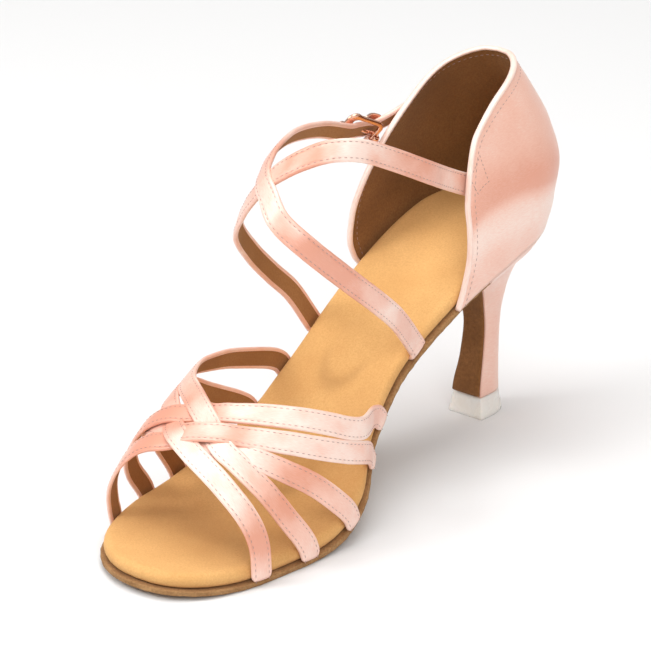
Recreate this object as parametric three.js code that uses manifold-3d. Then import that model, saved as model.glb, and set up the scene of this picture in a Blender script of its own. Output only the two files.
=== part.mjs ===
// Ladies' Latin dance sandal for the right foot, in millimetres.
// The toe points along -Y, the big-toe side is +X and the shoe stands on Z = 0.
// Shapes are first worked out in last coordinates: x towards the big-toe side,
// s forward from the back of the insole, z up from the floor.
import * as THREE from "three";
import Module from "manifold-3d";
import { mergeVertices } from "three/addons/utils/BufferGeometryUtils.js";

const wasm = await Module();
wasm.setup();

// Driving sizes of the last and the sole.
const shoeLength = 216;
const ballWidth = 76;
const heelRise = 76;
const toeSpring = 2;
const insoleThickness = 5.6;
const outsoleThickness = 2;
const soleMargin = 1.6;
const gap = 0.3;

// Heel, cap and counter.
const seatLength = 47;
const capHeight = 8.5;
const capWall = 1.1;
const capFloor = 2.6;
const counterWall = 2;
const counterHeight = 61;
const counterLength = 64;
const breastThickness = 1.2;

// Straps and the last's height above the insole.
const strapWidth = 8.4;
const strapThickness = 1.8;
const vampHeight = 66;
const crossReach = 121;
const halfLift = strapThickness / 2 - 0.1;
const strapStand = 1.5 * gap + strapThickness / 2 + 0.1;

// A smooth curve that never overshoots through rows of { at, value }.
function through(rows) {
  const n = rows.length;
  const slope = rows.slice(1).map((r, i) => (r.value - rows[i].value) / (r.at - rows[i].at));
  const lean = rows.map((r, i) => {
    if (i === 0) return slope[0];
    if (i === n - 1) return slope[n - 2];
    if (slope[i - 1] * slope[i] <= 0) return 0;
    return (2 * slope[i - 1] * slope[i]) / (slope[i - 1] + slope[i]);
  });
  return (at) => {
    const i = Math.max(0, Math.min(n - 2, rows.findLastIndex((r) => r.at <= at)));
    const run = rows[i + 1].at - rows[i].at;
    const t = Math.max(0, Math.min(1, (at - rows[i].at) / run));
    const [a, b] = [rows[i], rows[i + 1]];
    const h = t * t * (3 - 2 * t);
    return (
      a.value * (1 - h) + b.value * h +
      run * lean[i] * t * (1 - t) * (1 - t) - run * lean[i + 1] * t * t * (1 - t)
    );
  };
}

// One column of a table, as a curve over its "along" column.
function column(table, name, unit = 1, span = 1) {
  return through(table.map((row) => ({ at: row.along * span, value: row[name] * unit })));
}

// Side view of the insole's underside: rise is a share of heelRise, spring of toeSpring.
const sideProfile = [
  { along: 0.0, rise: 1.0, spring: 0 },
  { along: 0.12, rise: 0.935, spring: 0 },
  { along: 0.25, rise: 0.81, spring: 0 },
  { along: 0.37, rise: 0.63, spring: 0 },
  { along: 0.48, rise: 0.41, spring: 0 },
  { along: 0.58, rise: 0.19, spring: 0 },
  { along: 0.66, rise: 0.06, spring: 0 },
  { along: 0.73, rise: 0.008, spring: 0 },
  { along: 0.77, rise: 0.0, spring: 0 },
  { along: 0.87, rise: 0.0, spring: 0 },
  { along: 1.0, rise: 0.0, spring: 1 },
];
const riseAt = column(sideProfile, "rise", heelRise, shoeLength);
const springAt = column(sideProfile, "spring", toeSpring, shoeLength);
const forepartLevel = outsoleThickness + gap;
const bed = (s) => forepartLevel + riseAt(s) + springAt(s);

// Plan outline: middle line and half width as shares of half the ball width.
const outlineTable = [
  { along: 0.0, middle: 0, half: 0.66 },
  { along: 0.16, middle: -0.01, half: 0.69 },
  { along: 0.3, middle: -0.04, half: 0.64 },
  { along: 0.42, middle: -0.065, half: 0.6 },
  { along: 0.52, middle: -0.035, half: 0.68 },
  { along: 0.62, middle: 0.05, half: 0.91 },
  { along: 0.7, middle: 0.02, half: 1.0 },
  { along: 0.78, middle: 0.0, half: 0.97 },
  { along: 0.88, middle: 0.03, half: 0.87 },
  { along: 1.0, middle: 0.11, half: 0.77 },
];
const heelRound = { length: 27, power: 2.1 };
const toeRound = { length: 36, power: 2.3 };
const middleAt = column(outlineTable, "middle", ballWidth / 2, shoeLength);
const halfAt = column(outlineTable, "half", ballWidth / 2, shoeLength);

// How much of its full width the outline has near its round ends.
function roundness(s) {
  const heel = Math.max(0, 1 - s / heelRound.length);
  const toe = Math.max(0, 1 - (shoeLength - s) / toeRound.length);
  return (
    Math.pow(1 - Math.pow(heel, heelRound.power), 1 / heelRound.power) *
    Math.pow(1 - Math.pow(toe, toeRound.power), 1 / toeRound.power)
  );
}
const edgeX = (s, side) => middleAt(s) + side * roundness(s) * halfAt(s);

// A point of the edge pushed out in plan by a margin; the ends are pushed along the length.
function edgePoint(s, side, margin) {
  const step = 0.05;
  const [a, b] = [Math.max(0, s - step), Math.min(shoeLength, s + step)];
  const run = new THREE.Vector2(edgeX(b, side) - edgeX(a, side), b - a);
  const out = new THREE.Vector2(run.y, -run.x).multiplyScalar(side).normalize();
  if (s <= 0) out.set(0, -1);
  if (s >= shoeLength) out.set(0, 1);
  return { x: edgeX(s, side) + out.x * margin, s: s + out.y * margin };
}

const place = (x, s, z) => new THREE.Vector3(x, -s, z);

// The way the insole's underside faces up at s.
const bedFacing = (s) => place(0, bed(s - 1) - bed(s + 1), 2).normalize();

// Collects triangles into one closed geometry and makes it a solid that faces out.
class Skin {
  corners = [];
  add(...points) {
    for (let i = 1; i + 1 < points.length; i += 1) {
      this.corners.push(points[0], points[i], points[i + 1]);
    }
  }
  // The walls between rings of points that all go round the same way.
  wrap(rings) {
    for (let r = 0; r + 1 < rings.length; r += 1) {
      const [low, high] = [rings[r], rings[r + 1]];
      low.forEach((p, i) => {
        const j = (i + 1) % low.length;
        this.add(p, low[j], high[j], high[i]);
      });
    }
  }
  solid() {
    const loose = new THREE.BufferGeometry().setFromPoints(this.corners);
    const merged = mergeVertices(loose, 1e-3);
    const index = merged.index.array;
    const kept = [];
    for (let i = 0; i < index.length; i += 3) {
      const [a, b, c] = [index[i], index[i + 1], index[i + 2]];
      if (a !== b && b !== c && c !== a) kept.push(a, b, c);
    }
    const vertProperties = new Float32Array(merged.attributes.position.array);
    const made = (order) => new wasm.Manifold(new wasm.Mesh({
      numProp: 3,
      vertProperties,
      triVerts: new Uint32Array(order),
    }));
    const first = made(kept);
    return first.volume() > 0 ? first : made(kept.reverse());
  }
}

// A closed solid through rings of points, all of one count, with flat-fanned ends.
function loft(rings) {
  const skin = new Skin();
  skin.wrap(rings);
  const centre = (ring) => ring.reduce((sum, p) => sum.add(p), new THREE.Vector3()).divideScalar(ring.length);
  const [first, last] = [rings[0], rings.at(-1)];
  first.forEach((p, i) => skin.add(centre(first), first[(i + 1) % first.length], p));
  last.forEach((p, i) => skin.add(centre(last), p, last[(i + 1) % last.length]));
  return skin.solid();
}

// Stations along a length, closer together towards the round ends.
function stations(from, to, count) {
  return Array.from({ length: count + 1 }, (_, i) => {
    const t = i / count;
    const eased = 0.5 - 0.5 * Math.cos(Math.PI * t);
    return THREE.MathUtils.lerp(from, to, 0.35 * t + 0.65 * eased);
  });
}

// A layer of the sole: its edge profile runs from the underside to the top, and both
// faces are bridged from side to side so that they follow the side view.
function soleLayer(from, profile, base, crown = () => 0) {
  const along = stations(from, shoeLength, 30);
  const across = 6;
  const skin = new Skin();
  const face = (row, i, v, raised = 0) => {
    const [a, b] = [-1, 1].map((side) => edgePoint(along[i], side, row.margin));
    const t = v / across;
    const [x, s] = [a.x + (b.x - a.x) * t, a.s + (b.s - a.s) * t];
    const lift = v > 0 && v < across ? raised * crown(x, s) : 0;
    return place(x, s, base(s) + row.height + lift);
  };
  const ring = (row) => [
    ...along.map((_, i) => face(row, i, across)),
    ...along.map((_, i) => face(row, along.length - 1 - i, 0)),
    ...Array.from({ length: across - 1 }, (_, v) => face(row, 0, v + 1)),
  ];
  skin.wrap(profile.map(ring));
  const [under, top] = [profile[0], profile.at(-1)];
  for (let i = 0; i + 1 < along.length; i += 1) {
    for (let v = 0; v < across; v += 1) {
      const corners = [[i, v], [i, v + 1], [i + 1, v + 1], [i + 1, v]];
      skin.add(...corners.map(([row, column]) => face(top, row, column, 1)));
      skin.add(...corners.map(([row, column]) => face(under, row, column)).reverse());
    }
  }
  return skin.solid();
}

// A flat band along stations of { at, out }: at is its middle line and out the way its
// outer face looks. The section is a rectangle with eased corners.
function band(line, width, thickness, closed = false) {
  const [w, t] = [width / 2, thickness / 2];
  const ease = Math.min(w, t) * 0.45;
  const section = [
    [w, ease - t], [w, t - ease], [w - ease, t], [ease - w, t],
    [-w, t - ease], [-w, ease - t], [ease - w, -t], [w - ease, -t],
  ];
  const rings = line.map(({ at, out }, i) => {
    const [before, after] = closed
      ? [line.at(i - 1), line[(i + 1) % line.length]]
      : [line[Math.max(0, i - 1)], line[Math.min(line.length - 1, i + 1)]];
    const run = after.at.clone().sub(before.at).normalize();
    const face = out.clone().addScaledVector(run, -out.dot(run)).normalize();
    const side = run.clone().cross(face);
    return section.map(([u, v]) => at.clone().addScaledVector(side, u).addScaledVector(face, v));
  });
  if (!closed) return loft(rings);
  const skin = new Skin();
  skin.wrap([...rings, rings[0]]);
  return skin.solid();
}

// A smooth line of { at, out } stations through control rows of the same two vectors.
function drawn(rows, count) {
  const [where, facing] = ["at", "out"].map((key) => {
    const curve = new THREE.CatmullRomCurve3(rows.map((row) => row[key]), false, "catmullrom", 0.5);
    return (t) => curve.getPoint(t);
  });
  return Array.from({ length: count + 1 }, (_, i) => ({ at: where(i / count), out: facing(i / count) }));
}

// Two grids of points, one over the other, closed round their rims into one sheet.
function sheet(outer, inner) {
  const skin = new Skin();
  const [rows, columns] = [outer.length, outer[0].length];
  for (let i = 0; i + 1 < rows; i += 1) {
    for (let j = 0; j + 1 < columns; j += 1) {
      skin.add(outer[i][j], outer[i + 1][j], outer[i + 1][j + 1], outer[i][j + 1]);
      skin.add(inner[i][j], inner[i][j + 1], inner[i + 1][j + 1], inner[i + 1][j]);
    }
  }
  const rim = [];
  for (let j = 0; j + 1 < columns; j += 1) rim.push([0, j]);
  for (let i = 0; i + 1 < rows; i += 1) rim.push([i, columns - 1]);
  for (let j = columns - 1; j > 0; j -= 1) rim.push([rows - 1, j]);
  for (let i = rows - 1; i > 0; i -= 1) rim.push([i, 0]);
  rim.forEach(([i, j], k) => {
    const [m, n] = rim[(k + 1) % rim.length];
    skin.add(outer[i][j], outer[m][n], inner[m][n], inner[i][j]);
  });
  return skin.solid();
}

// The insole: cushioned board wrapped in suede, with a raised pad behind the ball.
const insoleEdge = [
  { margin: -2.0, height: 0 },
  { margin: -0.5, height: 0.18 * insoleThickness },
  { margin: 0, height: 0.45 * insoleThickness },
  { margin: -0.4, height: 0.74 * insoleThickness },
  { margin: -1.3, height: 0.93 * insoleThickness },
  { margin: -2.8, height: insoleThickness },
];
const pad = { s: 0.6 * shoeLength, x: 0, length: 17, width: 14, height: 2 };
function padHeight(x, s) {
  const away = Math.hypot((x - pad.x) / pad.width, (s - pad.s) / pad.length);
  return away < 1 ? pad.height * Math.pow(1 - away * away, 2) : 0;
}
const insoleBlank = soleLayer(0, insoleEdge, bed, padHeight);

// The counter round the heel: rows go up the wall. Lean is a share of counterHeight, the
// fronts are shares of counterLength, narrow scales the width.
const wallTable = [
  { along: 0, lean: 0, narrow: 1, medial: 1, lateral: 0.9 },
  { along: 0.15, lean: -0.06, narrow: 1.06, medial: 0.96, lateral: 0.95 },
  { along: 0.35, lean: -0.1, narrow: 1.09, medial: 0.92, lateral: 0.98 },
  { along: 0.6, lean: -0.05, narrow: 1, medial: 0.9, lateral: 0.97 },
  { along: 0.8, lean: 0.05, narrow: 0.85, medial: 0.895, lateral: 0.93 },
  { along: 1, lean: 0.17, narrow: 0.64, medial: 0.88, lateral: 0.88 },
];
const leanAt = column(wallTable, "lean", counterHeight);
const narrowAt = column(wallTable, "narrow");
const frontMedial = column(wallTable, "medial", counterLength);
const frontLateral = column(wallTable, "lateral", counterLength);

// Its top line from the back of the heel to the front edge, as shares of counterHeight.
const topLine = [
  { along: 0, medial: 1, lateral: 1 },
  { along: 0.25, medial: 0.985, lateral: 0.955 },
  { along: 0.53, medial: 0.955, lateral: 0.86 },
  { along: 0.84, medial: 0.87, lateral: 0.73 },
  { along: 1, medial: 0.74, lateral: 0.645 },
];
const topMedial = column(topLine, "medial", counterHeight);
const topLateral = column(topLine, "lateral", counterHeight);

// A point of the wall: up is the share of its height, along the share of its run.
function wallPoint(side, along, up, depth) {
  const front = (side > 0 ? frontMedial : frontLateral)(up);
  const e = edgePoint(along * front, side, depth);
  const tall = (side > 0 ? topMedial : topLateral)(along);
  const squeeze = 1 - (1 - narrowAt(up)) * (1 - 0.6 * along * along);
  const x = middleAt(e.s) + (e.x - middleAt(e.s)) * squeeze;
  return place(x, e.s + leanAt(up) * (1 - along), bed(Math.max(0, e.s)) + up * tall);
}
function wallGrid(depth) {
  const around = 16;
  const steps = Array.from({ length: 2 * around + 1 }, (_, i) => i - around);
  return Array.from({ length: 10 }, (_, j) => steps.map((i) => {
    const along = 1 - Math.cos((Math.abs(i) / around) * (Math.PI / 2));
    return wallPoint(i < 0 ? -1 : 1, along, j / 9, depth);
  }));
}
const counter = sheet(wallGrid(gap + counterWall), wallGrid(gap));

// The outsole starts at the heel breast.
const outsoleEdge = [
  { margin: soleMargin - 0.5, height: 0 },
  { margin: soleMargin, height: 0.3 * outsoleThickness },
  { margin: soleMargin, height: outsoleThickness },
];
const outsoleBase = (s) => bed(Math.min(s, shoeLength)) - gap - outsoleThickness;
const forepart = soleLayer(seatLength + gap, outsoleEdge, outsoleBase);

// Heel sections from the cap's floor to the seat: each is the seat's outline with its run
// from back to front and its width scaled. Follow says how much it tilts with the seat,
// aside moves it towards the big-toe side.
const heelSections = [
  { along: 0.0, back: 0.39, front: 0.69, width: 0.235, follow: 0, aside: 0.058 },
  { along: 0.09, back: 0.39, front: 0.685, width: 0.23, follow: 0, aside: 0.058 },
  { along: 0.3, back: 0.355, front: 0.6, width: 0.195, follow: 0, aside: 0.05 },
  { along: 0.48, back: 0.32, front: 0.555, width: 0.185, follow: 0, aside: 0.04 },
  { along: 0.64, back: 0.25, front: 0.6, width: 0.225, follow: 0.1, aside: 0.03 },
  { along: 0.78, back: 0.15, front: 0.72, width: 0.37, follow: 0.35, aside: 0.01 },
  { along: 0.9, back: 0.05, front: 0.88, width: 0.69, follow: 0.75, aside: 0 },
  { along: 1.0, back: 0.0, front: 1.0, width: 1.0, follow: 1, aside: 0 },
];
const heelColumns = Object.keys(heelSections[0]).slice(1);
const sectionAt = Object.fromEntries(heelColumns.map((name) => [name, column(heelSections, name)]));
const heelTop = (s) => bed(s) - gap;
const heelFoot = capFloor + gap;
const seatOutline = (() => {
  const along = stations(0, seatLength, 14);
  const half = (side) => along.map((s) => edgePoint(s, side, counterWall + gap));
  return [...half(1), ...half(-1).reverse().slice(0, -1)];
})();

// A point of the heel's skin, moved out by grow.
function heelPoint(p, level, grow = 0) {
  const { back, front, width, follow, aside } = Object.fromEntries(heelColumns.map((name) => [name, sectionAt[name](level)]));
  const middle = heelTop(seatLength / 2);
  const half = (front - back) * seatLength / 2;
  const from = back * seatLength + half;
  const u = p.s / seatLength * 2 - 1;
  const z = heelFoot + level * (middle - heelFoot) + follow * (heelTop(p.s) - middle);
  const x = p.x * width * (1 + grow / (ballWidth * 0.36 * width)) + aside * ballWidth / 2;
  return place(x, from + u * (half + grow), z);
}
const heelLevel = (z) => Math.max(0, (z - heelFoot) / (heelTop(seatLength / 2) - heelFoot));
const heelLevels = Array.from({ length: 16 }, (_, i) => {
  const foot = heelLevel(capHeight + gap);
  return foot + (1 - foot) * (i / 15);
});
const capFit = -(gap + capWall);
const heel = loft([
  seatOutline.map((p) => heelPoint(p, 0, capFit)),
  seatOutline.map((p) => heelPoint(p, heelLevels[0], capFit)),
  ...heelLevels.map((level) => seatOutline.map((p) => heelPoint(p, level))),
]);

// The sole leather runs on down the front of the heel.
const breast = (() => {
  const across = Array.from({ length: 7 }, (_, i) => i / 3 - 1);
  const layer = (depth) => heelLevels.slice(1).map((level) => across.map((u) => {
    const side = u < 0 ? -1 : 1;
    const corner = edgePoint(seatLength, side, counterWall);
    const p = heelPoint({ x: corner.x * Math.abs(u) * 0.96, s: seatLength }, level);
    return p.setY(p.y - depth).setZ(p.z - 0.7 * depth * sectionAt.follow(level));
  }));
  return sheet(layer(gap), layer(gap + breastThickness));
})();
const outsole = forepart.add(breast);

// The heel's cap is a cup round its foot, a little wider at the floor.
const capRing = (z, grow) => seatOutline.map((p) => heelPoint(p, heelLevel(z), grow).setZ(z));
const capCup = loft([
  capRing(0, 1),
  capRing(capHeight * 0.2, 0.9),
  capRing(capHeight * 0.6, 0.4),
  capRing(capHeight, 0),
]).subtract(loft([capFloor, capHeight * 0.5, capHeight + 1].map((z) => capRing(z, -capWall))));

// The last over the forepart: heights above the insole as shares of vampHeight.
const lastTable = [
  { along: 0.4, height: 1 },
  { along: 0.52, height: 1 },
  { along: 0.6, height: 0.97 },
  { along: 0.7, height: 0.88 },
  { along: 0.78, height: 0.742 },
  { along: 0.88, height: 0.56 },
  { along: 1.0, height: 0.21 },
];
const lastHeight = column(lastTable, "height", vampHeight, shoeLength);

// A point over the last: turn goes from 0 at the big-toe side to 1 at the little-toe side.
function lastPoint(s, turn) {
  const t = Math.max(0, Math.min(1, turn));
  const half = roundness(s) * halfAt(s) + strapStand;
  const rise = lastHeight(s) * Math.pow(Math.sin(Math.PI * t), 0.8);
  return place(middleAt(s) + half * Math.cos(Math.PI * t), s, bed(s) + insoleThickness / 2 + rise);
}
function lastFacing(s, turn) {
  const t = Math.max(0.004, Math.min(0.996, turn));
  const ahead = lastPoint(s + 0.2, t).sub(lastPoint(s - 0.2, t));
  const over = lastPoint(s, t + 0.002).sub(lastPoint(s, t - 0.002));
  return ahead.cross(over).normalize();
}

// The five vamp straps, from the big-toe side to the little-toe side: each row is a share
// of the shoe's length and of the turn over the last.
const vampTable = {
  first: [
    { along: 0.861, turn: 0 }, { along: 0.862, turn: 0.074 }, { along: 0.877, turn: 0.245 },
    { along: 0.875, turn: 0.398 }, { along: 0.859, turn: 0.513 }, { along: 0.831, turn: 0.592 },
    { along: 0.78, turn: 0.69 }, { along: 0.735, turn: 0.76 }, { along: 0.69, turn: 0.818 },
    { along: 0.641, turn: 0.891 }, { along: 0.6, turn: 0.945 }, { along: 0.55, turn: 1 },
  ],
  second: [
    { along: 0.76, turn: 0 }, { along: 0.801, turn: 0.086 }, { along: 0.829, turn: 0.207 },
    { along: 0.84, turn: 0.309 }, { along: 0.84, turn: 0.373 }, { along: 0.817, turn: 0.468 },
    { along: 0.789, turn: 0.557 }, { along: 0.75, turn: 0.662 }, { along: 0.715, turn: 0.72 },
    { along: 0.66, turn: 0.79 }, { along: 0.6, turn: 0.865 }, { along: 0.535, turn: 0.94 },
    { along: 0.475, turn: 1 },
  ],
  third: [
    { along: 0.66, turn: 0 }, { along: 0.708, turn: 0.064 }, { along: 0.775, turn: 0.179 },
    { along: 0.812, turn: 0.268 }, { along: 0.836, turn: 0.347 }, { along: 0.85, turn: 0.433 },
    { along: 0.845, turn: 0.6 }, { along: 0.8, turn: 0.78 }, { along: 0.722, turn: 0.939 },
    { along: 0.688, turn: 1 },
  ],
  fourth: [
    { along: 0.56, turn: 0 }, { along: 0.69, turn: 0.144 }, { along: 0.755, turn: 0.239 },
    { along: 0.806, turn: 0.344 }, { along: 0.833, turn: 0.424 }, { along: 0.85, turn: 0.5 },
    { along: 0.866, turn: 0.573 }, { along: 0.87, turn: 0.68 }, { along: 0.876, turn: 0.78 },
    { along: 0.88, turn: 0.88 }, { along: 0.868, turn: 0.968 }, { along: 0.86, turn: 1 },
  ],
  fifth: [
    { along: 0.505, turn: 0 }, { along: 0.606, turn: 0.093 }, { along: 0.674, turn: 0.185 },
    { along: 0.734, turn: 0.287 }, { along: 0.778, turn: 0.392 }, { along: 0.794, turn: 0.452 },
    { along: 0.808, turn: 0.522 }, { along: 0.817, turn: 0.573 }, { along: 0.822, turn: 0.669 },
    { along: 0.828, turn: 0.775 }, { along: 0.822, turn: 0.866 }, { along: 0.801, turn: 0.939 },
    { along: 0.765, turn: 1 },
  ],
};
// Which strap lies over which where they cross.
const overUnder = [
  { over: "first", under: "fourth" }, { over: "fifth", under: "first" },
  { over: "second", under: "fifth" }, { over: "fourth", under: "second" },
  { over: "fourth", under: "third" }, { over: "fifth", under: "third" },
  { over: "first", under: "third" }, { over: "second", under: "third" },
];
const vampLines = Object.fromEntries(Object.entries(vampTable).map(([name, rows]) => {
  const curve = new THREE.CatmullRomCurve3(rows.map((row) => new THREE.Vector3(row.along * shoeLength, row.turn * 100, 0)));
  const line = curve.getSpacedPoints(26).map((p) => ({
    at: lastPoint(p.x, p.y / 100), out: lastFacing(p.x, p.y / 100), lift: 0,
  }));
  return [name, line];
}));
const crossings = Object.fromEntries(Object.keys(vampTable).map((name) => [name, []]));
overUnder.forEach(({ over, under }) => {
  let best = { away: Infinity };
  vampLines[over].forEach((p, i) => vampLines[under].forEach((q, j) => {
    const away = p.at.distanceTo(q.at);
    if (away < best.away) best = { away, i, j };
  }));
  crossings[over].push({ at: best.i, value: halfLift });
  crossings[under].push({ at: best.j, value: -halfLift });
});
const vampStraps = Object.entries(vampLines).map(([name, line]) => {
  const knots = crossings[name].sort((a, b) => a.at - b.at).filter((knot, i, all) => i === 0 || knot.at > all[i - 1].at);
  const [first, last] = [knots[0], knots.at(-1)];
  const lift = through([
    { at: Math.min(first.at - 5, 0) - 1, value: 0 }, { at: first.at - 4, value: 0 },
    ...knots, { at: last.at + 4, value: 0 }, { at: line.length + 5, value: 0 },
  ]);
  const path = line.map((p, i) => ({ at: p.at.clone().addScaledVector(p.out, lift(i)), out: p.out }));
  const tip = (end) => {
    const s = -end.at.y;
    const [up, rise] = [bedFacing(s), end.at.z - bed(s)];
    return { at: end.at.clone().addScaledVector(up, 1.5 * gap - rise * up.z), out: end.out.clone().setZ(0) };
  };
  return band([tip(path[0]), ...path, tip(path.at(-1))], strapWidth, strapThickness);
}).reduce((all, strap) => all.add(strap));

// The strap that crosses over the instep. Its rows are shares of half the ball width, of the
// shoe's length and of crossReach above the insole's underside, with the way its face looks.
// Lift tells which half lies over the other where they cross.
const instepTable = [
  { across: 0.600, along: 0.328, height: 0.472, outX: 1, outS: 0, outZ: 0.15, lift: 0 },
  { across: 0.731, along: 0.384, height: 0.583, outX: 1, outS: 0.05, outZ: 0.2, lift: 0 },
  { across: 0.707, along: 0.476, height: 0.790, outX: 0.95, outS: 0.2, outZ: 0.3, lift: 0 },
  { across: 0.643, along: 0.536, height: 0.926, outX: 0.8, outS: 0.4, outZ: 0.45, lift: 0 },
  { across: 0.502, along: 0.582, height: 0.999, outX: 0.55, outS: 0.55, outZ: 0.6, lift: 0 },
  { across: 0.316, along: 0.611, height: 1.009, outX: 0.2, outS: 0.65, outZ: 0.7, lift: 0 },
  { across: 0.130, along: 0.626, height: 0.987, outX: -0.15, outS: 0.72, outZ: 0.65, lift: 0 },
  { across: -0.047, along: 0.633, height: 0.954, outX: -0.475, outS: 0.673, outZ: 0.566, lift: -1 },
  { across: -0.207, along: 0.626, height: 0.891, outX: -0.6, outS: 0.65, outZ: 0.45, lift: 0 },
  { across: -0.407, along: 0.615, height: 0.811, outX: -0.7, outS: 0.6, outZ: 0.35, lift: 0 },
  { across: -0.643, along: 0.588, height: 0.684, outX: -0.85, outS: 0.45, outZ: 0.2, lift: 0 },
  { across: -0.801, along: 0.527, height: 0.487, outX: -1, outS: 0.2, outZ: 0.1, lift: 0 },
  { across: -0.825, along: 0.478, height: 0.326, outX: -1, outS: 0.05, outZ: 0, lift: 0 },
  { across: -0.777, along: 0.437, height: 0.191, outX: -1, outS: 0, outZ: 0, lift: 0 },
];
const laceTable = [
  { across: 0.716, along: 0.470, height: 0.279, outX: 1, outS: 0, outZ: 0, lift: 0 },
  { across: 0.758, along: 0.530, height: 0.459, outX: 1, outS: 0.05, outZ: 0, lift: 0 },
  { across: 0.745, along: 0.589, height: 0.630, outX: 0.97, outS: 0.25, outZ: 0.05, lift: 0 },
  { across: 0.598, along: 0.656, height: 0.823, outX: 0.8, outS: 0.55, outZ: 0.2, lift: 0 },
  { across: 0.343, along: 0.676, height: 0.913, outX: 0.35, outS: 0.8, outZ: 0.4, lift: 0 },
  { across: 0.120, along: 0.658, height: 0.955, outX: -0.15, outS: 0.8, outZ: 0.55, lift: 0 },
  { across: -0.047, along: 0.633, height: 0.954, outX: -0.475, outS: 0.673, outZ: 0.566, lift: 1 },
  { across: -0.211, along: 0.597, height: 0.928, outX: -0.65, outS: 0.5, outZ: 0.55, lift: 0 },
  { across: -0.363, along: 0.546, height: 0.876, outX: -0.7, outS: 0.3, outZ: 0.6, lift: 0 },
  { across: -0.508, along: 0.474, height: 0.773, outX: -0.78, outS: 0.15, outZ: 0.6, lift: 0 },
  { across: -0.628, along: 0.383, height: 0.622, outX: -0.8, outS: 0.05, outZ: 0.6, lift: 0 },
];
// The buckle's middle beside the counter and a row ahead of it, as shares of counterLength and
// counterHeight.
const claspTable = [
  { across: -0.684, along: 1.053, height: 1, outX: -0.8, outS: 0, outZ: 0.6, lift: 0 },
  { across: -0.711, along: 0.908, height: 0.883, outX: -0.8, outS: 0, outZ: 0.6, lift: 0 },
];
function freeRows(table, length = shoeLength, reach = crossReach) {
  return table.map((row) => {
    const s = row.along * length;
    const out = place(row.outX, row.outS, row.outZ).normalize();
    const at = place(row.across * ballWidth / 2, s, bed(s) + row.height * reach);
    return { at: at.addScaledVector(out, row.lift * halfLift), out };
  });
}

// The buckle has its own directions: a runs along the strap towards the heel, b up across it
// and n out from it. The strap lies straight through it.
const clasp = { barThickness: 1.6, halfLength: 6.4, halfWidth: 6.6, corner: 2.2, front: 2.45, rear: -4 };
const [claspAhead, claspAt] = freeRows(claspTable, counterLength, counterHeight);
const claspBack = claspAt.at.clone().sub(claspAhead.at);
const claspRun = claspBack.addScaledVector(claspAt.out, -claspBack.dot(claspAt.out)).normalize();
const claspUp = claspRun.clone().cross(claspAt.out);
claspUp.multiplyScalar(Math.sign(claspUp.z));
const inClasp = (a, b, n) => claspAt.at.clone().addScaledVector(claspRun, a).addScaledVector(claspUp, b).addScaledVector(claspAt.out, n);
const claspRows = [-1.5, -0.5, 0.5, 1.5].map((share) => ({ at: inClasp(share * clasp.halfLength, 0, 0), out: claspAt.out }));

// It passes under the waist between the insole and the outsole, a little slantwise.
const waistAt = { medial: 0.385 * shoeLength, lateral: 0.393 * shoeLength };
function underRow(share) {
  const s = THREE.MathUtils.lerp(waistAt.lateral, waistAt.medial, (share + 1) / 2);
  const [lateral, medial] = [edgePoint(s, -1, strapStand).x, edgePoint(s, 1, strapStand).x];
  const out = bedFacing(s).negate();
  const x = THREE.MathUtils.lerp(lateral, medial, (share + 1) / 2);
  return { at: place(x, s, bed(s)).addScaledVector(out, -strapThickness / 2), out };
}
// Rows from beside the insole's edge round under it, for the side at share -1 or 1.
function wrapRows(side) {
  const { at: low, out: down } = underRow(side);
  const outside = new THREE.Vector3(side, 0, 0);
  const bend = strapThickness / 2 + 1.4;
  const round = (degrees) => {
    const a = THREE.MathUtils.degToRad(degrees);
    return {
      at: low.clone().addScaledVector(outside, bend * (Math.sin(a) - 1)).addScaledVector(down, bend * (Math.cos(a) - 1)),
      out: outside.clone().multiplyScalar(Math.sin(a)).addScaledVector(down, Math.cos(a)),
    };
  };
  const top = { at: low.clone().addScaledVector(down, -insoleThickness), out: outside };
  return [top, round(90), round(60), round(30), round(0), underRow(side * 0.6), underRow(side * 0.3)];
}

// The strap's start lies inside the counter's big-toe side, its tail outside the other side.
const wallSlack = 0.8;
const onWall = (side, along, up) => {
  const depth = side > 0 ? gap - strapStand - wallSlack : gap + counterWall + strapStand + wallSlack;
  const at = wallPoint(side, along, up, depth);
  const along1 = wallPoint(side, along + 0.03, up, 3).sub(wallPoint(side, along - 0.03, up, 3));
  const up1 = wallPoint(side, along, up + 0.03, 3).sub(wallPoint(side, along, up - 0.03, 3));
  return { at, out: up1.cross(along1).multiplyScalar(side).normalize() };
};
const instepLine = [
  onWall(1, 0.7, 0.7), onWall(1, 0.84, 0.79), onWall(1, 1, 0.89),
  ...freeRows(instepTable), ...wrapRows(-1), underRow(0), underRow(0.1),
];
const laceLine = [
  underRow(-0.1), underRow(0), ...wrapRows(1).reverse(), ...freeRows(laceTable), ...claspRows,
  onWall(-1, 0.6, 0.9), onWall(-1, 0.5, 0.82), onWall(-1, 0.4, 0.75),
];
const instepBand = band(drawn(instepLine, 52), strapWidth, strapThickness);
const laceBand = band(drawn(laceLine, 54), strapWidth, strapThickness);
const strapBlank = instepBand.add(laceBand);
const groove = (line) => band(drawn(line, 16), strapWidth + 2 * gap, strapThickness + 2 * gap);
const strapGroove = groove([...wrapRows(-1), underRow(0), underRow(0.1)])
  .add(groove([underRow(-0.1), underRow(0), ...wrapRows(1).reverse()]));
const insole = insoleBlank.subtract(strapGroove).simplify(0.02);

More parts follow.
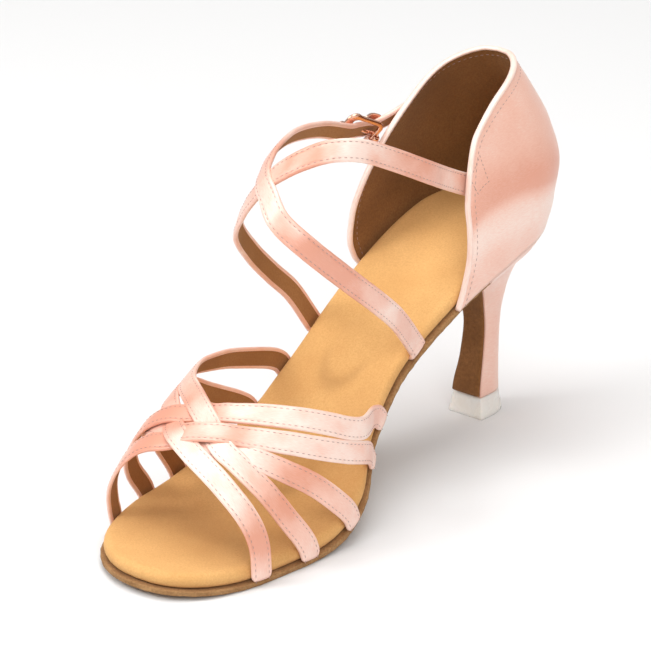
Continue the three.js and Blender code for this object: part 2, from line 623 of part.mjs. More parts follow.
// Its frame tips from outside the strap to inside it.
const tipped = (a) => THREE.MathUtils.mapLinear(a, -clasp.halfLength, clasp.halfLength, clasp.front, clasp.rear);
const framePlane = inClasp(clasp.halfLength, 0, clasp.rear).sub(inClasp(-clasp.halfLength, 0, clasp.front))
  .cross(claspUp).normalize();
const frameLine = [[1, 1], [-1, 1], [-1, -1], [1, -1]].flatMap(([i, j], k) => {
  const { halfLength, halfWidth, corner } = clasp;
  return [0, 1, 2, 3].map((step) => {
    const a = (Math.PI / 2) * (k + step / 3);
    const x = i * (halfLength - corner) + corner * Math.cos(a);
    return { at: inClasp(x, j * (halfWidth - corner) + corner * Math.sin(a), tipped(x)), out: framePlane };
  });
});
const buckleFrame = band(frameLine, clasp.barThickness, clasp.barThickness, true);

// A band that lies across b, through points given as a and n.
function claspBand(points, b, width, thickness, closed = false) {
  const line = points.map(([a, n], i) => {
    const [p, q] = closed
      ? [points.at(i - 1), points[(i + 1) % points.length]]
      : [points[Math.max(0, i - 1)], points[Math.min(points.length - 1, i + 1)]];
    const zero = inClasp(0, 0, 0);
    return { at: inClasp(a, b, n), out: inClasp(p[1] - q[1], 0, q[0] - p[0]).sub(zero) };
  });
  return band(line, width, thickness, closed);
}
const aroundBar = (radius, degrees) => {
  const a = THREE.MathUtils.degToRad(degrees);
  return [clasp.halfLength + radius * Math.cos(a), clasp.rear + radius * Math.sin(a)];
};
const prongTurn = clasp.barThickness / 2 + 1.05;
const prongPath = [
  ...[-150, -110, -70, -30, 10, 50, 90].map((degrees) => aroundBar(prongTurn, degrees)),
  [clasp.halfLength - 3, clasp.rear + 3], [0, clasp.front - 1.05], [-clasp.halfLength / 2, clasp.front + 0.75],
  [-clasp.halfLength, clasp.front + 1.8], [-clasp.halfLength - 1.6, clasp.front + 1.6],
];
const bucklePin = claspBand(prongPath, 0, 1.6, 1.2);
const pinHole = claspBand(prongPath.slice(5), 0, 1.6 + 2 * gap, 1.2 + 2 * gap);
const crossStrap = strapBlank.subtract(pinHole);
const buckleHook = claspBand([[3.4, 1.75], [5, 2.3], [7, 2.7], [9, 2.7], [11, 2.2], [12.6, 1.4]], 0, 9.6, 1);
const loopTurn = clasp.barThickness / 2 + 0.95;
const hookLoop = claspBand([
  ...[90, 120, 150, 180, 210, 240, 270].map((degrees) => aroundBar(loopTurn, degrees)),
  ...[270, 310, 350, 30, 70, 90].map((degrees) => aroundBar(loopTurn, degrees)).map(([a, n]) => [a + 2.4, n]),
], -3.3, 3.6, 1, true);

const finish = {
  satin: new THREE.MeshStandardMaterial({ color: 0xf4c9bb, roughness: 0.35, metalness: 0 }),
  suede: new THREE.MeshStandardMaterial({ color: 0xd9a566, roughness: 0.9, metalness: 0 }),
  sole: new THREE.MeshStandardMaterial({ color: 0x8a5a34, roughness: 0.9, metalness: 0 }),
  clear: new THREE.MeshStandardMaterial({ color: 0xd9d0c6, roughness: 0.3, metalness: 0 }),
  metal: new THREE.MeshStandardMaterial({ color: 0xd9926f, roughness: 0.25, metalness: 1 }),
};

const shoe = new THREE.Group();
function piece(name, solid, material) {
  const mesh = solid.getMesh();
  const geometry = new THREE.BufferGeometry();
  geometry.setAttribute("position", new THREE.BufferAttribute(mesh.vertProperties, mesh.numProp));
  geometry.setIndex(new THREE.BufferAttribute(mesh.triVerts, 1));
  geometry.computeVertexNormals();
  const made = new THREE.Mesh(geometry, material);
  made.name = name;
  shoe.add(made);
}
piece("insole", insole, finish.suede);
piece("outsole", outsole, finish.sole);
piece("heel", heel, finish.satin);
piece("heel_cap", capCup, finish.clear);
piece("counter", counter, finish.satin);
piece("vamp_straps", vampStraps, finish.satin);
piece("cross_strap", crossStrap, finish.satin);
piece("buckle_frame", buckleFrame, finish.metal);
piece("buckle_pin", bucklePin, finish.metal);
piece("buckle_hook", buckleHook, finish.metal);
piece("hook_loop", hookLoop, finish.satin);

// The row's frame: the middle of the footprint is the origin and the floor is Z = 0.
const box = new THREE.Box3().setFromObject(shoe);
const centre = box.getCenter(new THREE.Vector3());
shoe.position.set(-centre.x, -centre.y, -box.min.z);

export default shoe;
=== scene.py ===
# %% [markdown]
# # Dressing a Latin dance sandal
#
# The shoe already exists as plain solids. This notebook loads them as a fixed frame and then
# makes the surfaces that a shopper would see: folded satin straps, a padded suede insole, a
# leather sole, a milky heel cap and a small plated buckle. Every length is worked out in
# millimetres in the shoemaker's own coordinates and turned into metres at the very end.

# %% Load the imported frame
import math

import bmesh
import bpy
from mathutils import Matrix, Vector, noise


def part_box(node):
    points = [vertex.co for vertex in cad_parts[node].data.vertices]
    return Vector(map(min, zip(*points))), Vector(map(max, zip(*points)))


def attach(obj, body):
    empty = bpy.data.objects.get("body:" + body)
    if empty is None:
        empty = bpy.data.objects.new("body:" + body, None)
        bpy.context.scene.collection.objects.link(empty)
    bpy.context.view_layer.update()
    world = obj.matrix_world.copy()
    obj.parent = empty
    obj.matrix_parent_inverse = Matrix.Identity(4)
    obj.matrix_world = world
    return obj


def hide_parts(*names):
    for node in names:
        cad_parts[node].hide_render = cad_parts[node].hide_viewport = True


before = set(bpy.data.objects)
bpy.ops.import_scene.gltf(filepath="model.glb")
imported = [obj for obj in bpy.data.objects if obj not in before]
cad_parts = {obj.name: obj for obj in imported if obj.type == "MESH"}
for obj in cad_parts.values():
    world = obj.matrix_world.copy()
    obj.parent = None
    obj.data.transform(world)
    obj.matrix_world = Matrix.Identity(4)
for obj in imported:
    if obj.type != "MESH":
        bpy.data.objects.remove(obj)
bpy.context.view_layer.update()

# %% [markdown]
# A shoemaker measures along the last: s runs from the back of the heel to the toe, x runs
# towards the big toe and z is the height above the floor. The sizes below are the ones that
# the solids were built with, so that each surface lands on its solid. Only the heel's flare
# is drawn a little fuller here, and the straps over the toes a little thinner.

# %% Sizes of the last, the sole and the straps, in millimetres
shoe_length, ball_width, heel_rise, toe_spring = 216, 76, 76, 2
insole_thickness, outsole_thickness, sole_margin, gap = 5.6, 2, 1.6, 0.3
seat_length, cap_height, cap_wall, cap_floor = 47, 8.5, 1.1, 2.6
counter_wall, counter_height, counter_length, breast_thickness = 2, 61, 64, 1.2
strap_width, strap_thickness, vamp_height, cross_reach = 8.4, 1.8, 66, 121
half_lift = strap_thickness / 2 - 0.1
strap_stand = 1.5 * gap + strap_thickness / 2 + 0.1
row_shift = Vector((-0.6515, 1000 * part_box("insole")[1].y, 0))


def place(x, s, z):
    """A point of the last, with the toe pointing along -Y."""
    return Vector((x, -s, z))


def in_metres(point):
    """The same point in the row frame, in metres."""
    return (point + row_shift) / 1000


# %% [markdown]
# Shapes such as a sole's outline are kept as short tables of shares, one row for each place
# where a shoemaker would set a gauge. A curve that never overshoots joins the rows, so that
# a table of ten rows gives a smooth outline without a bulge between them.

# %% Tables and the smooth curves through them
def table(columns, *rows):
    """Rows of values, each with its column's name."""
    names = columns.split()
    return [dict(zip(names, row)) for row in rows]


def through(rows):
    """A smooth curve through (place, value) rows that never overshoots them."""
    at, value = [row[0] for row in rows], [row[1] for row in rows]
    last = len(rows) - 1
    slope = [(value[i + 1] - value[i]) / (at[i + 1] - at[i]) for i in range(last)]
    lean = [slope[0]]
    for before, after in zip(slope, slope[1:]):
        lean.append(2 * before * after / (before + after) if before * after > 0 else 0)
    lean.append(slope[-1])

    def curve(where):
        i = max(0, min(last - 1, sum(knot <= where for knot in at) - 1))
        run = at[i + 1] - at[i]
        t = held((where - at[i]) / run)
        ease = eased(t)
        return (value[i] * (1 - ease) + value[i + 1] * ease
                + run * lean[i] * t * (1 - t) ** 2 - run * lean[i + 1] * t * t * (1 - t))

    return curve


def hump(off, spread):
    """A soft hump: 1 in its middle, falling away on both sides."""
    return math.exp(-(off / spread) ** 2)


def held(share):
    """The share, held between 0 and 1."""
    return max(0, min(1, share))


def eased(t):
    """A share from 0 to 1 that starts and stops softly."""
    return t * t * (3 - 2 * t)


def column(rows, name, unit=1, span=1):
    """The smooth curve through one column, by its place along."""
    return through([(row["along"] * span, row[name] * unit) for row in rows])


# %% The last's side view and plan
side_profile = table(
    "along rise spring",
    (0.0, 1.0, 0), (0.12, 0.935, 0), (0.25, 0.81, 0), (0.37, 0.63, 0), (0.48, 0.41, 0),
    (0.58, 0.19, 0), (0.66, 0.06, 0), (0.73, 0.008, 0), (0.77, 0, 0), (0.87, 0, 0), (1.0, 0, 1),
)
outline_table = table(
    "along middle half",
    (0.0, 0, 0.66), (0.16, -0.01, 0.69), (0.3, -0.04, 0.64), (0.42, -0.065, 0.6),
    (0.52, -0.035, 0.68), (0.62, 0.05, 0.91), (0.7, 0.02, 1.0), (0.78, 0, 0.97),
    (0.88, 0.03, 0.87), (1.0, 0.11, 0.77),
)
rise_at = column(side_profile, "rise", heel_rise, shoe_length)
spring_at = column(side_profile, "spring", toe_spring, shoe_length)
middle_at = column(outline_table, "middle", ball_width / 2, shoe_length)
half_at = column(outline_table, "half", ball_width / 2, shoe_length)


def bed(s):
    """Height of the insole's underside."""
    return outsole_thickness + gap + rise_at(s) + spring_at(s)


def bed_facing(s):
    """The way that the insole's underside faces up."""
    return place(0, bed(s - 1) - bed(s + 1), 2).normalized()


def roundness(s):
    """Share of its full width that the sole has near its round ends."""
    heel = max(0, 1 - s / 27)
    toe = max(0, 1 - (shoe_length - s) / 36)
    return (1 - heel ** 2.1) ** (1 / 2.1) * (1 - toe ** 2.3) ** (1 / 2.3)


def edge_x(s, side):
    """Side is 1 for the big-toe side and -1 for the little-toe side."""
    return middle_at(s) + side * roundness(s) * half_at(s)


def edge_point(s, side, margin):
    """The sole's edge, pushed out by a margin, as (x, s)."""
    a, b = max(0, s - 0.05), min(shoe_length, s + 0.05)
    run = Vector((edge_x(b, side) - edge_x(a, side), b - a))
    out = (Vector((run.y, -run.x)) * side).normalized()
    if s <= 0:
        out = Vector((0, -1))
    if s >= shoe_length:
        out = Vector((0, 1))
    return edge_x(s, side) + out.x * margin, s + out.y * margin


print("the insole rises", round(bed(0) - bed(shoe_length), 1), "mm from toe to heel")

# %% [markdown]
# Nearly every piece of a sandal is a sheet or a band that follows a path, so one helper
# serves them all. It starts from a grid that Blender makes, bends it into place by moving
# its points with a function, welds the seam where the sheet closes on itself and fills the
# open ends. The UV map keeps real lengths along and across, so the threads of the cloth
# follow each strap.

# %% A grid that is bent into a piece
def bent_grid(columns, rows, where, lengths=None, finish_of=None, painted_light_of=None, fill=True):
    """A bmesh grid whose point (column, row) lies at where(column, row), in millimetres."""
    bm = bmesh.new()
    # The shade layer keeps painted light on each point: painted shade above 0, painted highlights below 0.
    shade = bm.verts.layers.float.new("shade")
    weave = bm.loops.layers.uv.new("weave")
    bmesh.ops.create_grid(bm, x_segments=columns, y_segments=rows, size=1)
    bm.verts.index_update()
    spot = [(round((v.co.x + 1) / 2 * columns), round((v.co.y + 1) / 2 * rows)) for v in bm.verts]
    for face in bm.faces:
        corner = min(spot[v.index] for v in face.verts)
        if finish_of:
            face.material_index = finish_of(*corner)
        for loop in face.loops:
            i, j = spot[loop.vert.index]
            loop[weave].uv = lengths(i, j) if lengths else (i / columns, j / rows)
    for v in bm.verts:
        v.co = in_metres(where(*spot[v.index]))
        v[shade] = painted_light_of(*spot[v.index]) if painted_light_of else 0
    bmesh.ops.remove_doubles(bm, verts=bm.verts, dist=2e-6)
    if fill:
        bmesh.ops.holes_fill(bm, edges=[e for e in bm.edges if e.is_boundary], sides=0)
        bmesh.ops.recalc_face_normals(bm, faces=bm.faces)
    return bm


# %% A finished piece that rides on the shoe
def mesh_of(name, bm):
    """A mesh with the bmesh's faces. The bmesh is freed."""
    mesh = bpy.data.meshes.new(name)
    bm.to_mesh(mesh)
    bm.free()
    return mesh


def in_scene(name, data):
    """A new object in the scene, for a mesh, a lamp or a camera."""
    thing = bpy.data.objects.new(name, data)
    bpy.context.scene.collection.objects.link(thing)
    return thing


def finished(name, bm, finishes, slot, *nodes):
    """A smooth piece with its finishes, which takes the place of the plain nodes named."""
    mesh = mesh_of(name, bm)
    for finish in finishes:
        mesh.materials.append(finish)
    for polygon in mesh.polygons:
        polygon.use_smooth = True
    piece = in_scene(name, mesh)
    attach(piece, "root")
    if nodes:
        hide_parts(*nodes)
    print(name, "has", len(mesh.polygons), "faces")


# %% [markdown]
# ## Finishes
#
# Satin is a smooth face of long threads, so its colour comes mostly from its gloss: nearly
# white where a light is reflected, and a deep coral where it isn't. Much of that is painted
# into the base colour here: a ramp runs from a pale painted highlight to a deep coral painted
# shade, moved by the painted light kept on each mesh's points. A node group makes the fine
# streaks of the threads and slight slubs, and each satin finish places it with its own
# values.

# %% Helpers for node trees
def new_finish(name):
    finish = bpy.data.materials.new(name)
    finish.use_nodes = True
    nodes, links = finish.node_tree.nodes, finish.node_tree.links
    return finish, nodes, links, nodes["Principled BSDF"]


def new_group(name, inputs, outputs):
    """A shader node group with named float or colour sockets."""
    group = bpy.data.node_groups.new(name, "ShaderNodeTree")
    for label, kind, value in inputs:
        socket = group.interface.new_socket(name=label, in_out="INPUT", socket_type=f"NodeSocket{kind}")
        if value is not None:
            socket.default_value = value
    for label, kind in outputs:
        group.interface.new_socket(name=label, in_out="OUTPUT", socket_type=f"NodeSocket{kind}")
    nodes = group.nodes
    return group, nodes, group.links, nodes.new("NodeGroupInput"), nodes.new("NodeGroupOutput")


def set_sockets(node, **values):
    """Gives a node's sockets plain values. An underscore stands for a space."""
    for label, value in values.items():
        node.inputs[label.replace("_", " ")].default_value = value


def feed(links, socket, value):
    """Links a socket to another node's output, or gives it a plain value."""
    if hasattr(value, "is_output"):
        links.new(value, socket)
    else:
        socket.default_value = value


def use_group(nodes, group, **values):
    node = nodes.new("ShaderNodeGroup")
    node.node_tree = group
    set_sockets(node, **values)
    return node


def maths(nodes, links, operation, *values):
    node = nodes.new("ShaderNodeMath")
    node.operation = operation
    for socket, value in zip(node.inputs, values):
        feed(links, socket, value)
    return node.outputs[0]


def noise_value(nodes, links, vector, scale, detail=2.0):
    node = nodes.new("ShaderNodeTexNoise")
    set_sockets(node, Scale=scale, Detail=detail)
    links.new(vector, node.inputs["Vector"])
    return node.outputs[0]


def on_piece(nodes):
    """A piece's own coordinates, in metres."""
    return nodes.new("ShaderNodeTexCoord").outputs["Object"]


def read_painted_light(nodes):
    """Painted light placed on the points of a mesh: painted shade above 0, painted highlights below 0."""
    placed = nodes.new("ShaderNodeAttribute")
    placed.attribute_name = "shade"
    return placed.outputs["Fac"]


def mixed_colour(nodes, links, factor, first, second):
    """A colour between two, by a socket's value."""
    mix = nodes.new("ShaderNodeMix")
    mix.data_type = "RGBA"
    links.new(factor, mix.inputs[0])
    for socket, value in ((mix.inputs[6], first), (mix.inputs[7], second)):
        feed(links, socket, value if hasattr(value, "is_output") else (*value, 1))
    return mix.outputs[2]


def ranged(nodes, links, source, low, high, to_low, to_high):
    """A socket's value, mapped from one range to another and held within it."""
    span = nodes.new("ShaderNodeMapRange")
    links.new(source, span.inputs["Value"])
    set_sockets(span, From_Min=low, From_Max=high, To_Min=to_low, To_Max=to_high)
    return span.outputs["Result"]


def bumped(nodes, links, height, shader, strength, distance):
    bump = nodes.new("ShaderNodeBump")
    set_sockets(bump, Strength=strength, Distance=distance)
    links.new(height, bump.inputs["Height"])
    links.new(bump.outputs["Normal"], shader.inputs["Normal"])


# %% Node group: satin threads
threads, nodes, links, given, made = new_group(
    "satin threads",
    [("Vector", "Vector", None), ("Threads per metre", "Float", 4000.0), ("Streak length", "Float", 12.0),
     ("Slub", "Float", 0.5)],
    [("Streak", "Float"), ("Cloud", "Float"), ("Height", "Float")],
)
per_metre = given.outputs["Threads per metre"]
squeeze = nodes.new("ShaderNodeCombineXYZ")
links.new(per_metre, squeeze.inputs["X"])
links.new(maths(nodes, links, "DIVIDE", per_metre, given.outputs["Streak length"]), squeeze.inputs["Y"])
links.new(per_metre, squeeze.inputs["Z"])
stretch = nodes.new("ShaderNodeVectorMath")
stretch.operation = "MULTIPLY"
links.new(given.outputs["Vector"], stretch.inputs[0])
links.new(squeeze.outputs[0], stretch.inputs[1])
streak = noise_value(nodes, links, stretch.outputs[0], 1.0, 3.0)
cloud = noise_value(nodes, links, given.outputs["Vector"], 70.0)
slubs = maths(nodes, links, "MULTIPLY_ADD", cloud, given.outputs["Slub"], streak)
for label, value in (("Streak", streak), ("Cloud", cloud), ("Height", slubs)):
    links.new(value, made.inputs[label])


# %% The satin finishes: straps by their UV map, larger panels by object coordinates
def satin_finish(name, by_uv, roughness, mottle=0.25, tone_at=0.37):
    """Satin from a pale painted highlight to a coral painted shade, by its mottling, its streaks and the
    painted light kept on its points.
    """
    finish, nodes, links, shader = new_finish(name)
    if by_uv:
        where = nodes.new("ShaderNodeUVMap")
        where.uv_map = "weave"
        source = where.outputs["UV"]
    else:
        source = on_piece(nodes)
    cloth = use_group(nodes, threads, Threads_per_metre=4200.0, Streak_length=9.0, Slub=0.6)
    links.new(source, cloth.inputs["Vector"])
    streak = cloth.outputs["Streak"]
    patches = ranged(nodes, links, cloth.outputs["Cloud"], 0.3, 0.7, tone_at - mottle, tone_at + mottle)
    lines = ranged(nodes, links, streak, 0.25, 0.75, -0.16, 0.16)
    uneven = maths(nodes, links, "ADD", patches, lines)
    tone = nodes.new("ShaderNodeValToRGB")
    ramp = tone.color_ramp
    # The ramp runs from a pale painted highlight through the middle tone to a deep coral painted shade.
    ramp.elements[0].color = (0.94, 0.71, 0.61, 1)
    ramp.elements[1].color = (0.76, 0.29, 0.17, 1)
    ramp.elements.new(0.42).color = (0.88, 0.49, 0.37, 1)
    links.new(maths(nodes, links, "ADD", uneven, read_painted_light(nodes)), tone.inputs[0])
    links.new(tone.outputs[0], shader.inputs["Base Color"])
    gloss = ranged(nodes, links, streak, 0.25, 0.75, roughness - 0.05, roughness + 0.07)
    links.new(gloss, shader.inputs["Roughness"])
    set_sockets(shader, Sheen_Weight=0.2, Sheen_Roughness=0.4, Sheen_Tint=(1, 0.93, 0.9, 1), IOR=1.8,
                Specular_IOR_Level=0.8, Coat_Weight=0.4, Coat_Roughness=0.5, Coat_IOR=1.6)
    bumped(nodes, links, cloth.outputs["Height"], shader, 0.5, 0.00006)
    return finish


strap_satin = satin_finish("strap satin", True, 0.42)
panel_satin = satin_finish("panel satin", False, 0.40, 0.08, 0.4)
# The folded edge's satin sits near the ramp's pale end: a painted highlight along the bead.
edge_satin_painted_highlight = satin_finish("edge satin", True, 0.45, 0.15, 0.05)

# %% [markdown]
# Suede has no gloss of its own. Its look is a short nap: grains of slightly different tone,
# patches that were brushed another way, and a soft light edge. One node group gives the
# grain, the brushed patches and the height, and the insole, the lining and the sole use it
# with their own colours. Where painted shade is kept on a mesh's points, the suede turns
# towards a deeper brown.

# %% Node group: suede nap
nap, nodes, links, given, made = new_group(
    "suede nap",
    [("Vector", "Vector", None), ("Grain", "Float", 1400.0), ("Patch", "Float", 35.0)],
    [("Grain", "Float"), ("Patch", "Float"), ("Height", "Float")],
)
values = {}
for label, detail, roughness in (("Grain", 4.0, 0.65), ("Patch", 3.0, 0.5)):
    speckle = nodes.new("ShaderNodeTexNoise")
    set_sockets(speckle, Detail=detail, Roughness=roughness)
    links.new(given.outputs["Vector"], speckle.inputs["Vector"])
    links.new(given.outputs[label], speckle.inputs["Scale"])
    values[label] = speckle.outputs[0]
values["Height"] = maths(nodes, links, "MULTIPLY_ADD", values["Patch"], 0.5, values["Grain"])
for label, value in values.items():
    links.new(value, made.inputs[label])


# %% The suede and leather finishes
def suede_finish(name, light, dark, grain_scale, patch_scale, bump, sheen, roughness=0.92):
    """A nap between two tones, darkened towards a deeper brown by the painted shade kept on the mesh's
    points.
    """
    finish, nodes, links, shader = new_finish(name)
    hide = use_group(nodes, nap, Grain=grain_scale, Patch=patch_scale)
    links.new(on_piece(nodes), hide.inputs["Vector"])
    middle = tuple((a + b) / 2 for a, b in zip(light, dark))
    # A deeper brown that painted shade turns the suede towards.
    painted_shade_brown = tuple(0.62 * value for value in dark)
    patches = ranged(nodes, links, hide.outputs["Patch"], 0.32, 0.68, 0, 1)
    grains = ranged(nodes, links, hide.outputs["Grain"], 0.35, 0.85, 0, 1)
    soft = mixed_colour(nodes, links, patches, light, middle)
    fine = mixed_colour(nodes, links, grains, soft, dark)
    links.new(mixed_colour(nodes, links, read_painted_light(nodes), fine, painted_shade_brown), shader.inputs["Base Color"])
    matt = ranged(nodes, links, hide.outputs["Patch"], 0.3, 0.7, roughness - 0.05, roughness + 0.05)
    links.new(matt, shader.inputs["Roughness"])
    set_sockets(shader, Specular_IOR_Level=0.2, Sheen_Weight=sheen, Sheen_Roughness=0.6,
                Sheen_Tint=(1, 0.85, 0.65, 1))
    bumped(nodes, links, hide.outputs["Height"], shader, 0.5, bump)
    return finish


insole_suede, lining_suede, strap_lining, sole_leather, breast_leather = (suede_finish(*row) for row in (
    ("insole suede", (0.81, 0.47, 0.18), (0.62, 0.31, 0.10), 1500.0, 45.0, 0.00022, 0.08),
    ("lining suede", (0.33, 0.15, 0.048), (0.17, 0.068, 0.018), 1300.0, 40.0, 0.00016, 0.1),
    ("strap lining", (0.40, 0.19, 0.07), (0.28, 0.12, 0.04), 1500.0, 60.0, 0.0001, 0.08),
    ("sole leather", (0.46, 0.26, 0.11), (0.20, 0.09, 0.035), 1100.0, 160.0, 0.0004, 0.08),
    ("breast leather", (0.27, 0.115, 0.036), (0.14, 0.052, 0.015), 900.0, 90.0, 0.0003, 0.1),
))

# %% [markdown]
# The heel cap is moulded from a milky clear plastic, so light passes in and spreads. The
# buckle is plated in a rose colour, with a faintly uneven polish. The thread
# is a little greyer than the satin that it holds.

# %% The cap, buckle and thread finishes
cap_plastic, nodes, links, shader = new_finish("milky cap")
scuffs = noise_value(nodes, links, on_piece(nodes), 160.0, 3.0)
links.new(ranged(nodes, links, scuffs, 0.35, 0.7, 0.2, 0.34), shader.inputs["Roughness"])
cloudy = ranged(nodes, links, scuffs, 0.3, 0.7, 0, 1)
milk = mixed_colour(nodes, links, cloudy, (0.95, 0.89, 0.83), (0.86, 0.77, 0.70))
links.new(milk, shader.inputs["Base Color"])
set_sockets(shader, Subsurface_Weight=0.5, Subsurface_Radius=(0.004, 0.003, 0.0025), Subsurface_Scale=1.0,
            Coat_Weight=0.3, Coat_Roughness=0.12)

rose_metal, nodes, links, shader = new_finish("rose plating")
polish = noise_value(nodes, links, on_piece(nodes), 900.0, 3.0)
links.new(ranged(nodes, links, polish, 0.3, 0.7, 0.16, 0.3), shader.inputs["Roughness"])
rose = mixed_colour(nodes, links, polish, (0.90, 0.56, 0.42), (0.80, 0.45, 0.31))
links.new(rose, shader.inputs["Base Color"])
set_sockets(shader, Metallic=1.0)
bumped(nodes, links, polish, shader, 0.15, 0.00003)

thread_finish, nodes, links, shader = new_finish("sewing thread")
twist = noise_value(nodes, links, on_piece(nodes), 2500.0)
yarn = mixed_colour(nodes, links, twist, (0.50, 0.31, 0.27), (0.34, 0.20, 0.18))
links.new(yarn, shader.inputs["Base Color"])
set_sockets(shader, Roughness=0.6, Sheen_Weight=0.3)

# %% [markdown]
# ## Insole
#
# A dance insole is a cushioned board wrapped in suede, about 5.6 mm thick, with a rounded
# edge and two small raised pads, at the arch and behind the ball. One closed loop of points
# goes round each section, from the edge over the top and back underneath, and the loops
# close by themselves at the round heel and toe.

# %% Stations along the sole, closer together at its round ends
def stations(start, end, count):
    even = [i / count for i in range(count + 1)]
    shares = [0.35 * t + 0.65 * (0.5 - 0.5 * math.cos(math.pi * t)) for t in even]
    return [start * (1 - share) + end * share for share in shares]


def sole_loop(edge, across):
    """The loop round a section: (side, margin, height, share across) for each of its points."""
    top, under = edge[-1], edge[0]
    loop = [(1, *row, None) for row in edge]
    loop += [(0, *top, 1 - 2 * i / across) for i in range(1, across)]
    loop += [(-1, *row, None) for row in reversed(edge)]
    loop += [(0, *under, -1 + 2 * i / across) for i in range(1, across)]
    return loop + loop[:1]


def sole_point(s, side, margin, height, share, base, relief):
    if share is None:
        x, along = edge_point(s, side, margin)
        return place(x, along, base(along) + height)
    (ax, a), (bx, b) = edge_point(s, -1, margin), edge_point(s, 1, margin)
    t = (share + 1) / 2
    x, along = ax + (bx - ax) * t, a + (b - a) * t
    return place(x, along, base(along) + height + relief(x, along, share))


# %% Shape of the insole's edge and top
insole_edge = [
    (-2.0, 0), (-1.1, 0.3), (-0.5, 1.0), (-0.1, 1.9), (0, 2.6), (-0.12, 3.4), (-0.45, 4.2),
    (-0.95, 4.85), (-1.6, 5.28), (-2.3, 5.5), (-3.0, insole_thickness),
]
pads = table(
    "across along half_width half_length height",
    (0, 0.6 * shoe_length, 14, 17, 2), (-2, 91, 9.5, 14, 1.1),
)


def pad_reach(pad, x, s):
    """0 at a pad's middle and 1 at its edge."""
    return math.hypot((x - pad["across"]) / pad["half_width"], (s - pad["along"]) / pad["half_length"])


def insole_relief(x, s, share):
    """The raised pads, a shallow dish under the heel and slight unevenness of the cushion."""
    pad = sum(pad["height"] * (1 - min(1, pad_reach(pad, x, s)) ** 4) ** 2 for pad in pads)
    inner = 1 - share * share
    heel_dish = -0.7 * inner * hump(s - 26, 22)
    ball_dish = -0.35 * inner * hump(s - 160, 20)
    uneven = 0.12 * inner * noise.noise(Vector((x, s, 0)) / 14)
    return pad + heel_dish + ball_dish + uneven


def painted_insole_shade(x, s):
    """Painted shade on the insole: a painted shadow before each pad's front edge and under the toe straps;
    darker along the waist too.
    """
    pad_front = sum(0.45 * hump(pad_reach(pad, x, s) - 1, 0.2) * held((s - pad["along"] - 2) / 12)
                    for pad in pads)
    waist = 0.2 * hump(s - 112, 26)
    toes = 0.28 * hump(s - 176, 10)
    return pad_front + waist + toes


insole_loop = sole_loop(insole_edge, 60)
insole_stations = stations(0, shoe_length, 150)


def insole_spot(i, j):
    side, margin, height, share = insole_loop[i]
    relief = insole_relief if height > insole_thickness / 2 else lambda *_: 0
    return sole_point(insole_stations[j], side, margin, height, share, bed, relief)


def insole_painted_shade_of(i, j):
    p = insole_spot(i, j)
    # The rounded edge and the underside get a little painted shade.
    return painted_insole_shade(p.x, -p.y) if insole_loop[i][2] > insole_thickness / 2 else 0.1


finished("insole_suede", bent_grid(
    len(insole_loop) - 1, len(insole_stations) - 1, insole_spot, painted_light_of=insole_painted_shade_of,
    lengths=lambda i, j: (0.001 * i, 0.001 * insole_stations[j]),
), [insole_suede], "suede", "insole")

# %% [markdown]
# ## Outsole
#
# The outsole is thin split leather with a rough cut edge. It starts at the heel breast, and
# the same leather runs on down the flat front of the heel as a flap. The sole is made like
# the insole, and the flap is a bent sheet that gets its thickness by Solidify.

# %% The forepart of the outsole
raw_edge = sole_margin - 0.35
outsole_edge = [
    (raw_edge - 0.7, 0), (raw_edge - 0.15, 0.2), (raw_edge, 0.7), (raw_edge - 0.05, 1.1),
    (raw_edge, 1.5), (raw_edge - 0.15, 1.85), (raw_edge - 0.5, outsole_thickness),
]
outsole_loop = sole_loop(outsole_edge, 16)
outsole_rows = 200
outsole_stations = stations(seat_length + gap, shoe_length, outsole_rows)


def outsole_base(s):
    return bed(min(s, shoe_length)) - gap - outsole_thickness


def frayed(s, side, margin, height, share):
    """The cut edge of split leather is never quite even."""
    fray = 0
    if share is None:
        fray = 0.3 * noise.noise(Vector((s / 2.2, 7 * side, height)))
        fray += 0.2 * noise.noise(Vector((s / 9, 3 * side, 0)))
    return sole_point(s, side, margin + fray, height, share, outsole_base, lambda *_: 0)


finished("outsole_leather", bent_grid(
    len(outsole_loop) - 1, outsole_rows,
    lambda i, j: frayed(outsole_stations[j], *outsole_loop[i]),
    lengths=lambda i, j: (0.001 * i, 0.001 * outsole_stations[j]),
), [sole_leather], "sole_leather", "outsole")

# %% The heel's own sections, from the cap to the seat
heel_sections = table(
    "along back front width follow aside",
    (0.0, 0.375, 0.69, 0.25, 0, 0.058), (0.09, 0.375, 0.685, 0.245, 0, 0.058),
    (0.3, 0.345, 0.6, 0.2, 0, 0.05), (0.48, 0.3, 0.555, 0.185, 0, 0.04),
    (0.64, 0.215, 0.6, 0.24, 0.1, 0.03), (0.78, 0.1, 0.72, 0.43, 0.35, 0.01),
    (0.9, 0.025, 0.88, 0.78, 0.75, 0), (1.0, 0, 1.0, 1.0, 1, 0),
)
section_at = {name: column(heel_sections, name) for name in ("back", "front", "width", "follow", "aside")}
heel_foot = cap_floor + gap
seat_half_width = ball_width * 0.36


def heel_top(s):
    return bed(s) - gap


def heel_level(z):
    return max(0, (z - heel_foot) / (heel_top(seat_length / 2) - heel_foot))


def heel_point(x, s, level, grow=0):
    """A point of the heel's skin over the seat point (x, s), moved out by grow."""
    back, front, width, follow, aside = (curve(level) for curve in section_at.values())
    middle = heel_top(seat_length / 2)
    half = (front - back) * seat_length / 2
    u = s / seat_length * 2 - 1
    z = heel_foot + level * (middle - heel_foot) + follow * (heel_top(s) - middle)
    across = x * width * (1 + grow / (seat_half_width * width)) + aside * ball_width / 2
    return place(across, back * seat_length + half + u * (half + grow), z)


